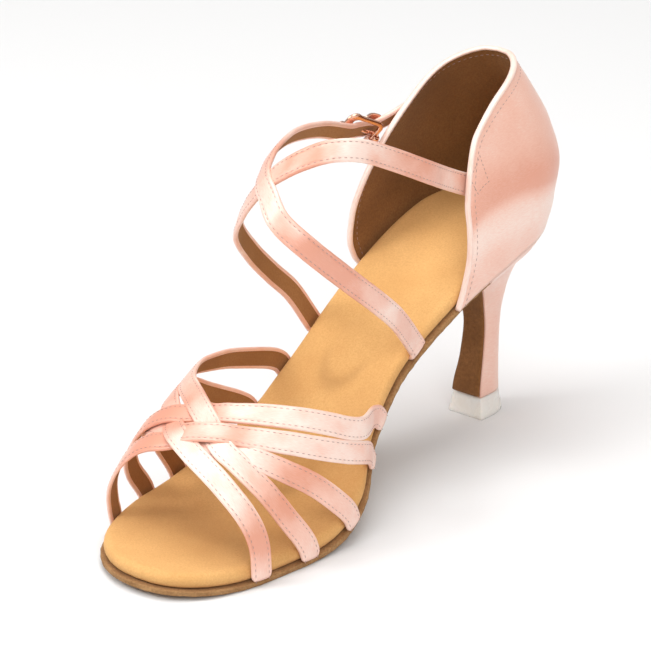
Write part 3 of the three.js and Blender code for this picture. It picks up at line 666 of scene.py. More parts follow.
# %% The leather flap down the heel's breast
flap_columns, flap_rows = 16, 60
foot_level = heel_level(cap_height + gap)
flap_shares = [0.01 + 0.99 * j / flap_rows for j in range(flap_rows + 1)]
flap_levels = [foot_level + (1 - foot_level) * share for share in flap_shares]


def flap_point(i, j, depth):
    u = 2 * i / flap_columns - 1
    x, _ = edge_point(seat_length, 1 if u >= 0 else -1, counter_wall)
    p = heel_point(x * abs(u) * 0.97, seat_length, flap_levels[j])
    rounded = depth - 0.5 * breast_thickness * u ** 8
    return Vector((p.x, p.y - rounded, p.z - 0.7 * rounded * section_at["follow"](flap_levels[j])))


flap = bent_grid(flap_columns, flap_rows, lambda i, j: flap_point(i, j, gap + breast_thickness), fill=False,
                 lengths=lambda i, j: (0.001 * i, 0.001 * j))
bmesh.ops.recalc_face_normals(flap, faces=flap.faces)
if sum(f.normal.y for f in flap.faces) > 0:
    bmesh.ops.reverse_faces(flap, faces=flap.faces)
bmesh.ops.solidify(flap, geom=flap.faces, thickness=0.001 * breast_thickness)
finished("heel_breast_leather", flap, [breast_leather], "sole_leather")

# %% [markdown]
# ## Heel and cap
#
# The flared heel is moulded and covered in the same satin as the shoe. Each ring of its skin
# is the seat's outline, narrowed and moved by the table above. The cap is a small cup, made
# the same way with a wall of its own.

# %% The satin-covered heel
seat_side = stations(0, seat_length, 30)
front_count = 14
left, right = (edge_point(seat_length, side, counter_wall + gap) for side in (-1, 1))


def seat_loop(i):
    """Point i of the seat's outline: round the heel and back along its flat front."""
    round_part = len(seat_side) - 1
    if i <= round_part:
        return edge_point(seat_side[round_part - i], 1, counter_wall + gap)
    if i <= 2 * round_part:
        return edge_point(seat_side[i - round_part], -1, counter_wall + gap)
    t = (i - 2 * round_part) / front_count
    return left[0] + (right[0] - left[0]) * t, left[1] + (right[1] - left[1]) * t


seat_count = 2 * (len(seat_side) - 1) + front_count
cap_fit = -(gap + cap_wall)
heel_rings = [(0, cap_fit), (foot_level * 0.9, cap_fit), (foot_level, cap_fit), (foot_level, -0.3)]
heel_rings += [(foot_level + (1 - foot_level) * j / 70, 0) for j in range(71)]
finished("heel_satin", bent_grid(
    seat_count, len(heel_rings) - 1,
    lambda i, j: heel_point(*seat_loop(i), *heel_rings[j]),
    lengths=lambda i, j: (0.001 * i, 0.001 * j),
), [panel_satin], "satin", "heel")

# %% The milky cap
cap_profile = [
    (0, 0.6), (0.35, 0.95), (0.2 * cap_height, 0.92), (0.4 * cap_height, 0.66),
    (0.6 * cap_height, 0.4), (0.8 * cap_height, 0.2), (cap_height - 0.35, 0.05),
    (cap_height, -0.3), (cap_height, -cap_wall + 0.3), (cap_height - 0.3, -cap_wall),
    (0.6 * cap_height, -cap_wall), (cap_floor, -cap_wall),
]


def cap_point(i, j):
    z, grow = cap_profile[j]
    p = heel_point(*seat_loop(i), heel_level(z), grow)
    p.z = z
    return p


finished("heel_cap_plastic", bent_grid(seat_count, len(cap_profile) - 1, cap_point), [cap_plastic],
         "clear_cap", "heel_cap")

# %% [markdown]
# ## Counter
#
# The counter holds the heel of the foot: satin outside, suede inside, a stiffener between
# them and a folded edge that shows as a light bead all the way round; the bead's pale colour
# is a painted highlight. The two skins are bent grids with a little thickness, and the bead
# is a cord along their common border. The front corners are rounded by squeezing the corner
# of the grid into a quarter of a circle.

# %% The counter's wall
wall_table = table(
    "along lean narrow medial lateral",
    (0, 0, 1, 1, 0.9), (0.15, -0.06, 1.06, 0.96, 0.95), (0.35, -0.1, 1.09, 0.92, 0.98),
    (0.6, -0.05, 1, 0.9, 0.97), (0.8, 0.05, 0.85, 0.895, 0.93), (1, 0.17, 0.64, 0.88, 0.88),
)
top_line = table(
    "along medial lateral",
    (0, 1, 1), (0.25, 0.985, 0.955), (0.53, 0.955, 0.86), (0.84, 0.87, 0.73), (1, 0.74, 0.645),
)
lean_at = column(wall_table, "lean", counter_height)
narrow_at = column(wall_table, "narrow")
sides = ((1, "medial"), (-1, "lateral"))
front_at = {side: column(wall_table, name, counter_length) for side, name in sides}
top_at = {side: column(top_line, name, counter_height) for side, name in sides}


def wall_point(side, along, up, depth):
    """A point of the wall: along from the back to the front, up to the top, depth outwards."""
    x, s = edge_point(along * front_at[side](up), side, depth)
    squeeze = 1 - (1 - narrow_at(up)) * (1 - 0.6 * along * along)
    x = middle_at(s) + (x - middle_at(s)) * squeeze
    return place(x, s + lean_at(up) * (1 - along), bed(max(0, s)) + up * top_at[side](along))


def wall_facing(side, along, up):
    return wall_point(side, along, up, 3) - wall_point(side, along, up, 1)


corner_along, corner_up = 0.2, 0.3


def rounded_corner(along, up):
    """Squeezes the grid's sharp front corner into a quarter of a circle."""
    a = max(0, (along - (1 - corner_along)) / corner_along)
    b = max(0, (up - (1 - corner_up)) / corner_up)
    if a and b:
        a, b = a * math.sqrt(1 - b * b / 2), b * math.sqrt(1 - a * a / 2)
        return 1 - corner_along + corner_along * a, 1 - corner_up + corner_up * b
    return along, up


def wall_spot(i, around):
    """(side, along) for a column of the wall's grid, closer together at the back."""
    share = 2 * i / around - 1
    return (1 if share >= 0 else -1), 1 - math.cos(abs(share) * math.pi / 2)


around, storeys = 96, 48


def inner_side(side, along):
    """1 on the inner half of the counter, easing to 0 round its back."""
    return eased(held((side * along + 0.3) / 0.6))


def satin_hollow(side, along, up):
    """Soft troughs and ridges of the counter's cloth, in millimetres of depth."""
    off = up - (0.25 + 0.38 * along)
    inner = 0.35 * hump(off - 0.14, 0.12) - 0.5 * hump(off + 0.1, 0.11)
    outer = 0.15 * math.sin(9 * along + 5 * up)
    share = inner_side(side, along)
    return inner * share + outer * (1 - share)


def counter_painted_light(i, j):
    """Painted shade along a slanting fold of the counter's satin and a painted highlight just below it; on
    the outer side a fainter painted shade.
    """
    side, along = wall_spot(i, around)
    up = j / storeys
    off = up - (0.25 + 0.38 * along)
    band = hump(off, 0.2 if off > 0 else 0.06)
    pale = hump(off + 0.2, 0.12)
    inner = 0.6 * band * (1.3 - 0.5 * along) - 0.3 * pale
    outer = 0.35 * hump(up - 0.15 - 0.3 * along, 0.15) - 0.1
    share = inner_side(side, along)
    return inner * share + outer * (1 - share)


def outer_skin(side, along, up, over=0):
    """The satin's surface, which swells and hollows away from its borders."""
    away = max(0, 1 - max(along, up) ** 12)
    return wall_point(side, along, up, gap + counter_wall + over + away * satin_hollow(side, along, up))


def inner_skin(side, along, up, over=0):
    return wall_point(side, along, up, gap + 0.15 - over)


def outer_wall(i, j):
    """The satin's grid, with its lowest row tucked down a little."""
    side, along = wall_spot(i, around)
    along, up = rounded_corner(along, j / storeys)
    return outer_skin(side, along, up) - Vector((0, 0, 0.25 * max(0, 1 - 25 * up)))


def inner_wall(i, j):
    side, along = wall_spot(i, around)
    return inner_skin(side, *rounded_corner(along, j / storeys))


def wall_skin(name, where, finish, slot, faces_out, *nodes):
    """A skin of the wall, given its own thickness on the side away from the eye."""
    # Both skins take the counter's painted light and shade.
    bm = bent_grid(around, storeys, where, fill=False, lengths=lambda i, j: (0.0014 * i, 0.0013 * j),
                   painted_light_of=counter_painted_light)
    centre = in_metres(place(0, 22, 100))
    outward = sum(f.normal.dot(f.calc_center_median() - centre) for f in bm.faces)
    if (outward > 0) != faces_out:
        bmesh.ops.reverse_faces(bm, faces=bm.faces)
    bmesh.ops.solidify(bm, geom=bm.faces, thickness=0.0006)
    finished(name, bm, [finish], slot, *nodes)


wall_skin("counter_satin", outer_wall, panel_satin, "satin", True, "counter")
wall_skin("counter_lining", inner_wall, lining_suede, "suede", False)

# %% The lines that cords and stitches follow
def catmull(points, count):
    """count + 1 points of a smooth line through all the given ones."""
    ends = [points[0] * 2 - points[1], *points, points[-1] * 2 - points[-2]]
    line = []
    for k in range(count + 1):
        t = k / count * (len(points) - 1)
        i = min(int(t), len(points) - 2)
        t -= i
        p0, p1, p2, p3 = ends[i:i + 4]
        line.append(0.5 * (2 * p1 + (p2 - p0) * t + (2 * p0 - 5 * p1 + 4 * p2 - p3) * t ** 2
                           + (3 * p1 - p0 - 3 * p2 + p3) * t ** 3))
    return line


def framed(line, closed=False):
    """Stations (at, out) become (at, run, side, face) with the three directions square."""
    made = []
    for i, (at, out) in enumerate(line):
        before = line[i - 1][0] if i or closed else at
        after = line[(i + 1) % len(line)][0] if i + 1 < len(line) or closed else at
        run = (after - before).normalized()
        face = (out - run * out.dot(run)).normalized()
        made.append((at, run, run.cross(face), face))
    return made


def lengths_along(line):
    total, made = 0, [0]
    for a, b in zip(line, line[1:]):
        total += (b[0] - a[0]).length
        made.append(total)
    return made


def cord(line, section, closed=False, broaden=None):
    """A closed section of (across, out) points, drawn along stations and broadened by place."""
    loop = section + section[:1]
    run = lengths_along(line)
    rows = len(line) - (0 if closed else 1)

    def where(i, j):
        at, _, side, face = line[j % len(line)]
        across, out = loop[i]
        return at + side * across * (broaden(at) if broaden else 1) + face * out

    return bent_grid(len(section), rows, where,
                     lengths=lambda i, j: (0.0004 * i, 0.001 * run[min(j, len(run) - 1)]))


def oval(width, height, count=14):
    turns = [2 * math.pi * k / count for k in range(count)]
    return [(width / 2 * math.cos(a), height / 2 * math.sin(a)) for a in turns]


# %% The folded edge round the counter
def rim_line(inset, skin, over):
    """Points on a skin of the counter, inset from its border, with the way it faces there."""
    spots = []
    steps = 60
    for side, order in ((1, range(steps + 1)), (-1, range(steps, -1, -1))):
        front = [(1, up / steps) for up in order]
        top = [(1 - a / steps, 1) for a in range(steps + 1)]
        path = front + top[1:] if side > 0 else list(reversed(top))[1:] + front[1:]
        spots += [(side, *spot) for spot in path]
    line = []
    for side, along, up in spots:
        along, up = rounded_corner(along, up)
        along_in, up_in = along - inset * along / counter_length, up - inset * up / counter_height
        line.append((skin(side, along_in, up_in, over), wall_facing(side, along_in, up_in).normalized()))
    return line


def evened(line, step):
    """The same line with its stations evenly spaced."""
    run = lengths_along(line)
    count = max(2, round(run[-1] / step))
    made, k = [], 0
    for n in range(count + 1):
        target = run[-1] * n / count
        while k + 2 < len(run) and run[k + 1] < target:
            k += 1
        t = (target - run[k]) / max(1e-9, run[k + 1] - run[k])
        made.append((line[k][0].lerp(line[k + 1][0], t), line[k][1].lerp(line[k + 1][1], t)))
    return made


rim = framed(evened(rim_line(0, outer_skin, 0.1 - counter_wall / 2), 1.0))
finished("counter_edge", cord(rim, oval(1.7, counter_wall + 0.5)), [edge_satin_painted_highlight], "satin")

# %% [markdown]
# ## Stitches
#
# Each row of lockstitch shows as short threads that sink at both ends. A stitch is a small
# stretched ball of two dozen faces, copied along the row at an even pitch, and all the
# stitches of one piece are joined into one mesh.

# %% A helper that sews along a line
def sew(bm, line, across=0, raised=0, pitch=2.2, length=1.35, thick=0.26):
    """Adds a row of stitches on a framed line, across and raised from it."""
    shifted = [(at + side * across + face * raised, face) for at, _, side, face in line]
    row = framed(evened(shifted, pitch))
    sewn = bmesh.new()
    size = Matrix.Diagonal((length / 2000, thick / 2000, thick / 2600, 1))
    for at, run, side, face in row[:-1]:
        turn = Matrix((run, side, face)).transposed().to_4x4()
        bmesh.ops.create_uvsphere(sewn, u_segments=6, v_segments=4, radius=1,
                                  matrix=Matrix.Translation(in_metres(at)) @ turn @ size)
    mesh = mesh_of("sewn row", sewn)
    bm.from_mesh(mesh)
    bpy.data.meshes.remove(mesh)
    return len(row) - 1


# %% The counter's stitch rows
counter_thread = bmesh.new()
inset = 2.9
sewn_count = 0
for skin in (outer_skin, inner_skin):
    sewn_count += sew(counter_thread, framed(evened(rim_line(inset, skin, 0.04), 1.0)))
diamond = [(0.84, 0.9), (0.83, 0.72), (0.92, 0.75), (0.95, 0.9), (0.84, 0.9)]
for (a, u), (b, v) in zip(diamond, diamond[1:]):
    spots = [(a + (b - a) * t / 6, u + (v - u) * t / 6) for t in range(7)]
    line = [(outer_skin(1, *spot, 0.04), wall_facing(1, *spot)) for spot in spots]
    sewn_count += sew(counter_thread, framed(line), pitch=1.6, length=1.1)
finished("counter_stitches", counter_thread, [thread_finish], "satin")
print(sewn_count, "stitches on the counter")

# %% [markdown]
# ## Straps
#
# Each strap is a strip of satin, folded round a thin lining, with a row of stitches near
# both edges. Its section shows all of that: a crowned face, a trough under each stitch row,
# round folded edges, and on the inside a narrow turn of satin on either side of the suede.

# %% The section of a strap
def strap_section(width, thickness, inset=1.35):
    """(across, out, is lining) points, once round."""
    half, t = width / 2, thickness / 2
    flat = half - 0.8 * t
    section = []
    for k in range(21):
        u = flat * (1 - k / 10)
        trough = 0.13 * hump(abs(u) - (half - inset), 0.32)
        section.append((u, t - 0.05 + 0.16 * (1 - (u / flat) ** 2) - trough, False))
    for k in range(1, 6):
        a = math.radians(90 + 30 * k)
        section.append((-flat + 0.8 * t * math.cos(a), (t - 0.05) * math.sin(a), False))
    for k in range(11):
        u = -flat + 2 * flat * k / 10
        sunk = 0.14 if abs(u) < flat - 0.9 else 0.02
        section.append((u, -t + sunk, 1 <= k <= 8 and abs(u + flat / 10) < flat - 0.7))
    for k in range(1, 6):
        a = math.radians(-90 + 30 * k)
        section.append((flat + 0.8 * t * math.cos(a), (t - 0.05) * math.sin(a), False))
    return section


def placed(along, rows):
    """The sum of soft humps, given as rows of (place, spread, strength)."""
    return sum(strength * hump(along - middle, spread) for middle, spread, strength in rows)


def strap(name, line, finishes, painted_light_rows=(), creases=(), nodes=(), width=strap_width, thickness=strap_thickness,
          round_end=2):
    """A folded strap along framed stations.

    Painted light rows and creases are rows of (place, spread, strength), with the places in millimetres;
    painted light above 0 is painted shade, below 0 a painted highlight.
    """
    ruck = 0.05
    pinch = 0.4 if round_end < 3 else 0.9
    section = strap_section(width, thickness)
    loop = section + section[:1]
    run = lengths_along(line)

    def where(i, j):
        at, _, side, face = line[j]
        across, out, _ = loop[i]
        uneven = ruck * noise.noise(Vector((across * 0.5, run[j] * 0.22, len(name))))
        uneven -= placed(run[j] + 0.15 * across, creases)
        near_end = max(0, 1 - min(run[j], run[-1] - run[j]) / round_end)
        across *= math.sqrt(1 - pinch * near_end ** 2)
        return at + side * across + face * (out + (uneven if out > 0 else 0))

    # Painted light on each point, read from the rows by place along the strap.
    def painted_light_of(i, j):
        return placed(run[j] + 0.25 * loop[i][0], painted_light_rows)

    bm = bent_grid(len(section), len(line) - 1, where,
                   lengths=lambda i, j: (0.0004 * i, 0.001 * run[j]),
                   finish_of=lambda i, j: int(loop[i][2]),
                   painted_light_of=painted_light_of)
    finished(name, bm, finishes, "satin", *nodes)


# %% The last's surface over the forepart
last_table = table(
    "along height",
    (0.4, 1), (0.52, 1), (0.6, 0.97), (0.7, 0.88), (0.78, 0.742), (0.88, 0.56), (1.0, 0.21),
)
last_height = column(last_table, "height", vamp_height, shoe_length)


def last_point(s, turn):
    """Turn goes over the foot, from 0 at the big-toe side to 1 at the little-toe side."""
    t = held(turn)
    half = roundness(s) * half_at(s) + strap_stand
    rise = last_height(s) * math.sin(math.pi * t) ** 0.8
    return place(middle_at(s) + half * math.cos(math.pi * t), s, bed(s) + insole_thickness / 2 + rise)


def last_facing(s, turn):
    """The way that the last's surface faces out."""
    t = max(0.004, min(0.996, turn))
    ahead = last_point(s + 0.2, t) - last_point(s - 0.2, t)
    over = last_point(s, t + 0.002) - last_point(s, t - 0.002)
    return over.cross(ahead).normalized()


# %% The vamp's five straps: shares of the shoe's length and of the turn over the last
vamp_table = {
    "first": table(
        "along turn",
        (0.861, 0), (0.862, 0.074), (0.877, 0.245), (0.875, 0.398), (0.859, 0.513), (0.831, 0.592),
        (0.78, 0.69), (0.735, 0.76), (0.69, 0.818), (0.641, 0.891), (0.6, 0.945), (0.55, 1)),
    "second": table(
        "along turn",
        (0.76, 0), (0.801, 0.086), (0.829, 0.207), (0.84, 0.309), (0.84, 0.373), (0.817, 0.468),
        (0.789, 0.557), (0.75, 0.662), (0.715, 0.72), (0.66, 0.79), (0.6, 0.865), (0.535, 0.94), (0.475, 1)),
    "third": table(
        "along turn",
        (0.66, 0), (0.708, 0.064), (0.775, 0.179), (0.812, 0.268), (0.836, 0.347), (0.85, 0.433),
        (0.845, 0.6), (0.8, 0.78), (0.722, 0.939), (0.688, 1)),
    "fourth": table(
        "along turn",
        (0.56, 0), (0.69, 0.144), (0.755, 0.239), (0.806, 0.344), (0.833, 0.424), (0.85, 0.5),
        (0.866, 0.573), (0.87, 0.68), (0.876, 0.78), (0.88, 0.88), (0.868, 0.968), (0.86, 1)),
    "fifth": table(
        "along turn",
        (0.505, 0), (0.606, 0.093), (0.674, 0.185), (0.734, 0.287), (0.778, 0.392), (0.794, 0.452),
        (0.808, 0.522), (0.817, 0.573), (0.822, 0.669), (0.828, 0.775), (0.822, 0.866), (0.801, 0.939),
        (0.765, 1)),
}
over_under = [("first", "fourth"), ("fifth", "first"), ("second", "fifth"), ("fourth", "second"),
              ("fourth", "third"), ("fifth", "third"), ("first", "third"), ("second", "third")]


def vamp_line(rows, count=130):
    """Stations of a strap that is drawn flat, by length and turn, and laid over the last."""
    plan = catmull([Vector((row["along"] * shoe_length, row["turn"] * 100, 0)) for row in rows], count)
    return [(last_point(p.x, p.y / 100), last_facing(p.x, p.y / 100)) for p in plan]


vamp_lines = {name: evened(vamp_line(rows), 1.0) for name, rows in vamp_table.items()}

# %% Where straps cross, one is lifted and the other pressed down, more where three meet
vamp_thickness, weave_lift, stack_lift = 1.45, 1.0, 1.7
stacked = (("fourth", "second"), ("fourth", "third"), ("first", "fourth"))
crossings = {name: [] for name in vamp_lines}
for over, under in over_under:
    upper, lower = list(enumerate(vamp_lines[over])), list(enumerate(vamp_lines[under]))
    _, i, j = min(((p[0] - q[0]).length, i, j) for i, p in upper for j, q in lower)
    crossings[over].append((i, stack_lift if (over, under) in stacked else weave_lift))
    crossings[under].append((j, -weave_lift))

slope_run = 13
for name, line in vamp_lines.items():
    knots = []
    for at, value in sorted(crossings[name]):
        if not knots or at - knots[-1][0] > 1:
            knots.append((at, value))
    lift = through([(knots[0][0] - slope_run - 1, 0), (knots[0][0] - slope_run, 0), *knots,
                    (knots[-1][0] + slope_run, 0), (knots[-1][0] + slope_run + 1, 0)])
    lifted = [(at + out * lift(i), out) for i, (at, out) in enumerate(line)]

    def tip(at, out):
        """The strap's end, tucked between the insole and the outsole."""
        s = -at.y
        up, rise = bed_facing(s), at.z - bed(s)
        return at + up * (0.25 - rise * up.z), Vector((out.x, out.y, 0))

    ends = [evened([tip(*lifted[0]), lifted[0]], 0.8), evened([lifted[-1], tip(*lifted[-1])], 0.8)]
    vamp_lines[name] = framed(ends[0][:-1] + lifted + ends[1][1:])
print({name: round(lengths_along(line)[-1]) for name, line in vamp_lines.items()}, "mm of strap")

# %% Sew the vamp
# Painted light along each vamp strap by millimetres: painted shade above 0, painted highlights below 0.
vamp_painted_light = {
    "first": [(14, 7, 0.75), (42, 16, -0.3), (72, 6, 0.55), (102, 14, 0.45)],
    "second": [(26, 9, 0.65), (52, 12, -0.3), (84, 6, 0.4)],
    "third": [(33, 9, 0.6), (55, 10, -0.25)],
    "fourth": [(8, 5, 0.2), (40, 20, -0.3), (72, 6, 0.65), (102, 16, 0.75)],
    "fifth": [(8, 5, 0.3), (40, 22, -0.3), (100, 15, 0.85)],
}
vamp_creases = {
    "first": [(24, 1.6, 0.16), (80, 2, 0.18)], "second": [(30, 1.8, 0.18), (92, 2, 0.15)],
    "third": [(38, 2, 0.15)], "fourth": [(14, 1.8, 0.15), (90, 2.2, 0.2)],
    "fifth": [(12, 1.8, 0.18), (86, 2.2, 0.2)],
}
stitch_inset, stitch_sunk = 1.35, 0.04
vamp_thread = bmesh.new()
for order, (name, line) in enumerate(vamp_lines.items()):
    strap(f"vamp_strap_{name}", line, [strap_satin, strap_lining], vamp_painted_light[name], vamp_creases[name],
          ("vamp_straps",) if order == 0 else (), thickness=vamp_thickness)
    for side in (-1, 1):
        sew(vamp_thread, line, side * (strap_width / 2 - stitch_inset), vamp_thickness / 2 - stitch_sunk)
finished("vamp_stitches", vamp_thread, [thread_finish], "satin")

# %% [markdown]
# ## The crossing strap
#
# One long strap holds the arch. It starts inside the counter, crosses the instep, passes
# under the waist of the sole, comes back over itself and goes through the buckle. The rows
# give its middle line and the way its face looks, as shares of the shoe's own sizes.

# %% The crossing strap's rows
strap_columns = "across along height out_x out_s out_z lift"
instep_table = table(
    strap_columns,
    (0.600, 0.328, 0.472, 1, 0, 0.15, 0), (0.731, 0.384, 0.583, 1, 0.05, 0.2, 0),
    (0.707, 0.476, 0.790, 0.95, 0.2, 0.3, 0), (0.643, 0.536, 0.926, 0.8, 0.4, 0.45, 0),
    (0.502, 0.582, 0.999, 0.55, 0.55, 0.6, 0), (0.316, 0.611, 1.009, 0.2, 0.65, 0.7, 0),
    (0.130, 0.626, 0.987, -0.15, 0.72, 0.65, 0), (-0.047, 0.633, 0.954, -0.475, 0.673, 0.566, -1),
    (-0.207, 0.626, 0.891, -0.6, 0.65, 0.45, 0), (-0.407, 0.615, 0.811, -0.7, 0.6, 0.35, 0),
    (-0.643, 0.588, 0.684, -0.85, 0.45, 0.2, 0), (-0.801, 0.527, 0.487, -1, 0.2, 0.1, 0),
    (-0.825, 0.478, 0.326, -1, 0.05, 0, 0), (-0.777, 0.437, 0.191, -1, 0, 0, 0),
)
lace_table = table(
    strap_columns,
    (0.716, 0.470, 0.279, 1, 0, 0, 0), (0.758, 0.530, 0.459, 1, 0.05, 0, 0),
    (0.745, 0.589, 0.630, 0.97, 0.25, 0.05, 0), (0.598, 0.656, 0.823, 0.8, 0.55, 0.2, 0),
    (0.343, 0.676, 0.913, 0.35, 0.8, 0.4, 0), (0.120, 0.658, 0.955, -0.15, 0.8, 0.55, 0),
    (-0.047, 0.633, 0.954, -0.475, 0.673, 0.566, 1), (-0.211, 0.597, 0.928, -0.65, 0.5, 0.55, 0),
    (-0.363, 0.546, 0.876, -0.7, 0.3, 0.6, 0), (-0.508, 0.474, 0.773, -0.78, 0.15, 0.6, 0),
    (-0.628, 0.383, 0.622, -0.8, 0.05, 0.6, 0),
)
clasp_table = table(
    strap_columns,
    (-0.684, 1.053, 1, -0.8, 0, 0.6, 0), (-0.711, 0.908, 0.883, -0.8, 0, 0.6, 0),
)


def free_rows(rows, length=shoe_length, reach=cross_reach):
    """Rows of (at, out) where the strap is free of the sole, from a table of shares."""
    made = []
    for row in rows:
        s = row["along"] * length
        out = place(row["out_x"], row["out_s"], row["out_z"]).normalized()
        at = place(row["across"] * ball_width / 2, s, bed(s) + row["height"] * reach)
        made.append((at + out * row["lift"] * half_lift, out))
    return made


# %% The buckle's own directions
bar_thickness, clasp_half, clasp_width, clasp_corner = 1.6, 6.4, 6.6, 2.2
clasp_front, clasp_rear = 2.45, -4
(clasp_ahead, _), (clasp_at, clasp_out) = free_rows(clasp_table, counter_length, counter_height)
clasp_back = clasp_at - clasp_ahead
clasp_run = (clasp_back - clasp_out * clasp_back.dot(clasp_out)).normalized()
clasp_up = clasp_run.cross(clasp_out)
clasp_up *= math.copysign(1, clasp_up.z)


def in_clasp(a, b, n):
    """a runs along the strap to the heel, b up across it and n out of it."""
    return clasp_at + clasp_run * a + clasp_up * b + clasp_out * n


# %% The strap under the waist and along the counter
waist_at = {1: 0.385 * shoe_length, -1: 0.393 * shoe_length}


def under_row(share):
    """A row under the waist, from -1 at its outer edge to 1 at its inner edge."""
    s = waist_at[-1] + (waist_at[1] - waist_at[-1]) * (share + 1) / 2
    lateral, medial = edge_point(s, -1, strap_stand)[0], edge_point(s, 1, strap_stand)[0]
    out = -bed_facing(s)
    return place(lateral + (medial - lateral) * (share + 1) / 2, s, bed(s)) - out * strap_thickness / 2, out


def wrap_rows(side):
    """Rows round the waist's edge and in under it."""
    low, down = under_row(side)
    outside = Vector((side, 0, 0))
    bend = strap_thickness / 2 + 1.4
    rows = [(low - down * insole_thickness, outside)]
    for degrees in (90, 60, 30, 0):
        a = math.radians(degrees)
        rows.append((low + outside * bend * (math.sin(a) - 1) + down * bend * (math.cos(a) - 1),
                     outside * math.sin(a) + down * math.cos(a)))
    return rows + [under_row(side * 0.6), under_row(side * 0.3)]


def on_wall(side, along, up):
    """A row on the counter: inside it on the inner side, outside it on the outer side."""
    slack = 0.8
    depth = gap - strap_stand - slack if side > 0 else gap + counter_wall + strap_stand + slack
    along_run = wall_point(side, along + 0.03, up, 3) - wall_point(side, along - 0.03, up, 3)
    up_run = wall_point(side, along, up + 0.03, 3) - wall_point(side, along, up - 0.03, 3)
    return wall_point(side, along, up, depth), (up_run.cross(along_run) * side).normalized()


instep_rows = [on_wall(1, 0.7, 0.5), on_wall(1, 0.84, 0.66), on_wall(1, 1, 0.94),
               *free_rows(instep_table), *wrap_rows(-1), under_row(0), under_row(0.1)]
lace_rows = [under_row(-0.1), under_row(0), *reversed(wrap_rows(1)), *free_rows(lace_table),
             *[(in_clasp(share * clasp_half, 0, 0), clasp_out) for share in (-1.5, -0.5, 0.5, 1.5)],
             on_wall(-1, 0.6, 0.9), on_wall(-1, 0.5, 0.82), on_wall(-1, 0.4, 0.75)]


def drawn(rows):
    """Framed stations a millimetre apart on a smooth line through rows of (at, out)."""
    where = catmull([row[0] for row in rows], 14 * len(rows))
    facing = catmull([row[1] for row in rows], 14 * len(rows))
    return framed(evened(list(zip(where, facing)), 1.0))


cross_thread = bmesh.new()
# Each crossing strap: name, rows, nodes replaced, painted light (shade above 0, highlights below 0) and
# creases.
cross_straps = (
    ("instep_strap", instep_rows, ("cross_strap",), [(57, 15, 0.6), (92, 7, -0.5), (109, 8, 0.95)],
     [(34, 2, 0.2), (96, 2.4, 0.2), (150, 2.5, 0.15)]),
    ("buckle_strap", lace_rows, (),
     [(50, 6, 0.2), (62, 8, -0.2), (98, 22, 0.65), (134, 9, -0.3), (160, 12, 0.35)],
     [(52, 1.8, 0.18), (112, 2.2, 0.15), (146, 2.4, 0.18)]),
)
for name, rows, nodes_replaced, painted_light_rows, creases in cross_straps:
    line = drawn(rows)
    strap(name, line, [strap_satin, strap_lining], painted_light_rows, creases, nodes_replaced,
          round_end=strap_width / 2)
    for side in (-1, 1):
        across, raised = side * (strap_width / 2 - stitch_inset), strap_thickness / 2 - stitch_sunk
        sew(cross_thread, line[3:-4], across, raised)
    print(name, "is", round(lengths_along(line)[-1]), "mm long")
finished("cross_strap_stitches", cross_thread, [thread_finish], "satin")

# %% [markdown]
# The pin goes through one of a few small holes in the buckle strap. No hole is cut: its dark
# round spot is painted shade, a small flat disc of dark suede that stands just clear of the
# crown of the strap. The holes go on at an even pitch on both sides of the one in use.

# %% Pin holes in the buckle strap, as discs of painted shade
hole_shade_bm = bmesh.new()
hole_pitch, hole_radius, hole_height = 5, 0.6, 0.4
hole_stand = strap_thickness / 2 + 0.02
holes_from_pin = (-2, -1, 1, 2, 3, 4)
buckle_line = drawn(lace_rows)
pin_tip = in_clasp(-clasp_half, 0, 0)
pin_at = min(range(len(buckle_line)), key=lambda k: (buckle_line[k][0] - pin_tip).length)
for k in holes_from_pin:
    at, run, side, face = buckle_line[pin_at + k * hole_pitch]
    turn = Matrix((run, side, face)).transposed().to_4x4()
    bmesh.ops.create_cone(hole_shade_bm, cap_ends=True, segments=14, radius1=0.001 * hole_radius,
                          radius2=0.001 * hole_radius, depth=0.001 * hole_height,
                          matrix=Matrix.Translation(in_metres(at + face * hole_stand)) @ turn)
finished("pin_hole_shade_discs", hole_shade_bm, [breast_leather], "satin")

# %% [markdown]
# ## Buckle
#
# The buckle is a small cast frame with round corners that lies tipped through the strap. A
# pin and a broad curved hook turn on its rear bar, and a satin loop holds the bar. All of
# them are closed cords along short paths in the buckle's own directions.

# %% The frame, pin, hook and loop
def tipped(a):
    """How far the tipped frame stands out at a place along the strap."""
    return clasp_front + (clasp_rear - clasp_front) * (a + clasp_half) / (2 * clasp_half)


def front_bar(at):
    """The bar that the pin rests on is broader than the others."""
    ahead = -(at - clasp_at).dot(clasp_run)
    return 1 + 0.7 * held((ahead - 3.6) / 1.6)


frame_half_width = clasp_width - 0.8
frame_rake = in_clasp(clasp_half, 0, clasp_rear) - in_clasp(-clasp_half, 0, clasp_front)
frame_plane = frame_rake.cross(clasp_up).normalized()
frame_line = []
for k, (i, j) in enumerate(((1, 1), (-1, 1), (-1, -1), (1, -1))):
    for step in range(9):
        a = math.pi / 2 * (k + step / 8)
        x = i * (clasp_half - clasp_corner) + clasp_corner * math.cos(a)
        y = j * (frame_half_width - clasp_corner) + clasp_corner * math.sin(a)
        frame_line.append((in_clasp(x, y, tipped(x)), frame_plane))
even_frame = []
for (a, _), (b, _) in zip(frame_line, frame_line[1:] + frame_line[:1]):
    pieces = max(1, round((b - a).length / 0.8))
    even_frame += [(a.lerp(b, t / pieces), frame_plane) for t in range(pieces)]


def bevelled(width, height, ease=0.3):
    """A flat bar's section with its corners eased."""
    w, h, sliver = width / 2, height / 2, 0.3 * ease
    quarter = [(w, h - ease), (w - sliver, h - sliver), (w - ease, h)]
    upper = quarter + [(-a, b) for a, b in reversed(quarter)]
    lower = [(-a, -b) for a, b in upper]
    return lower[-1:] + upper + lower[:-1]


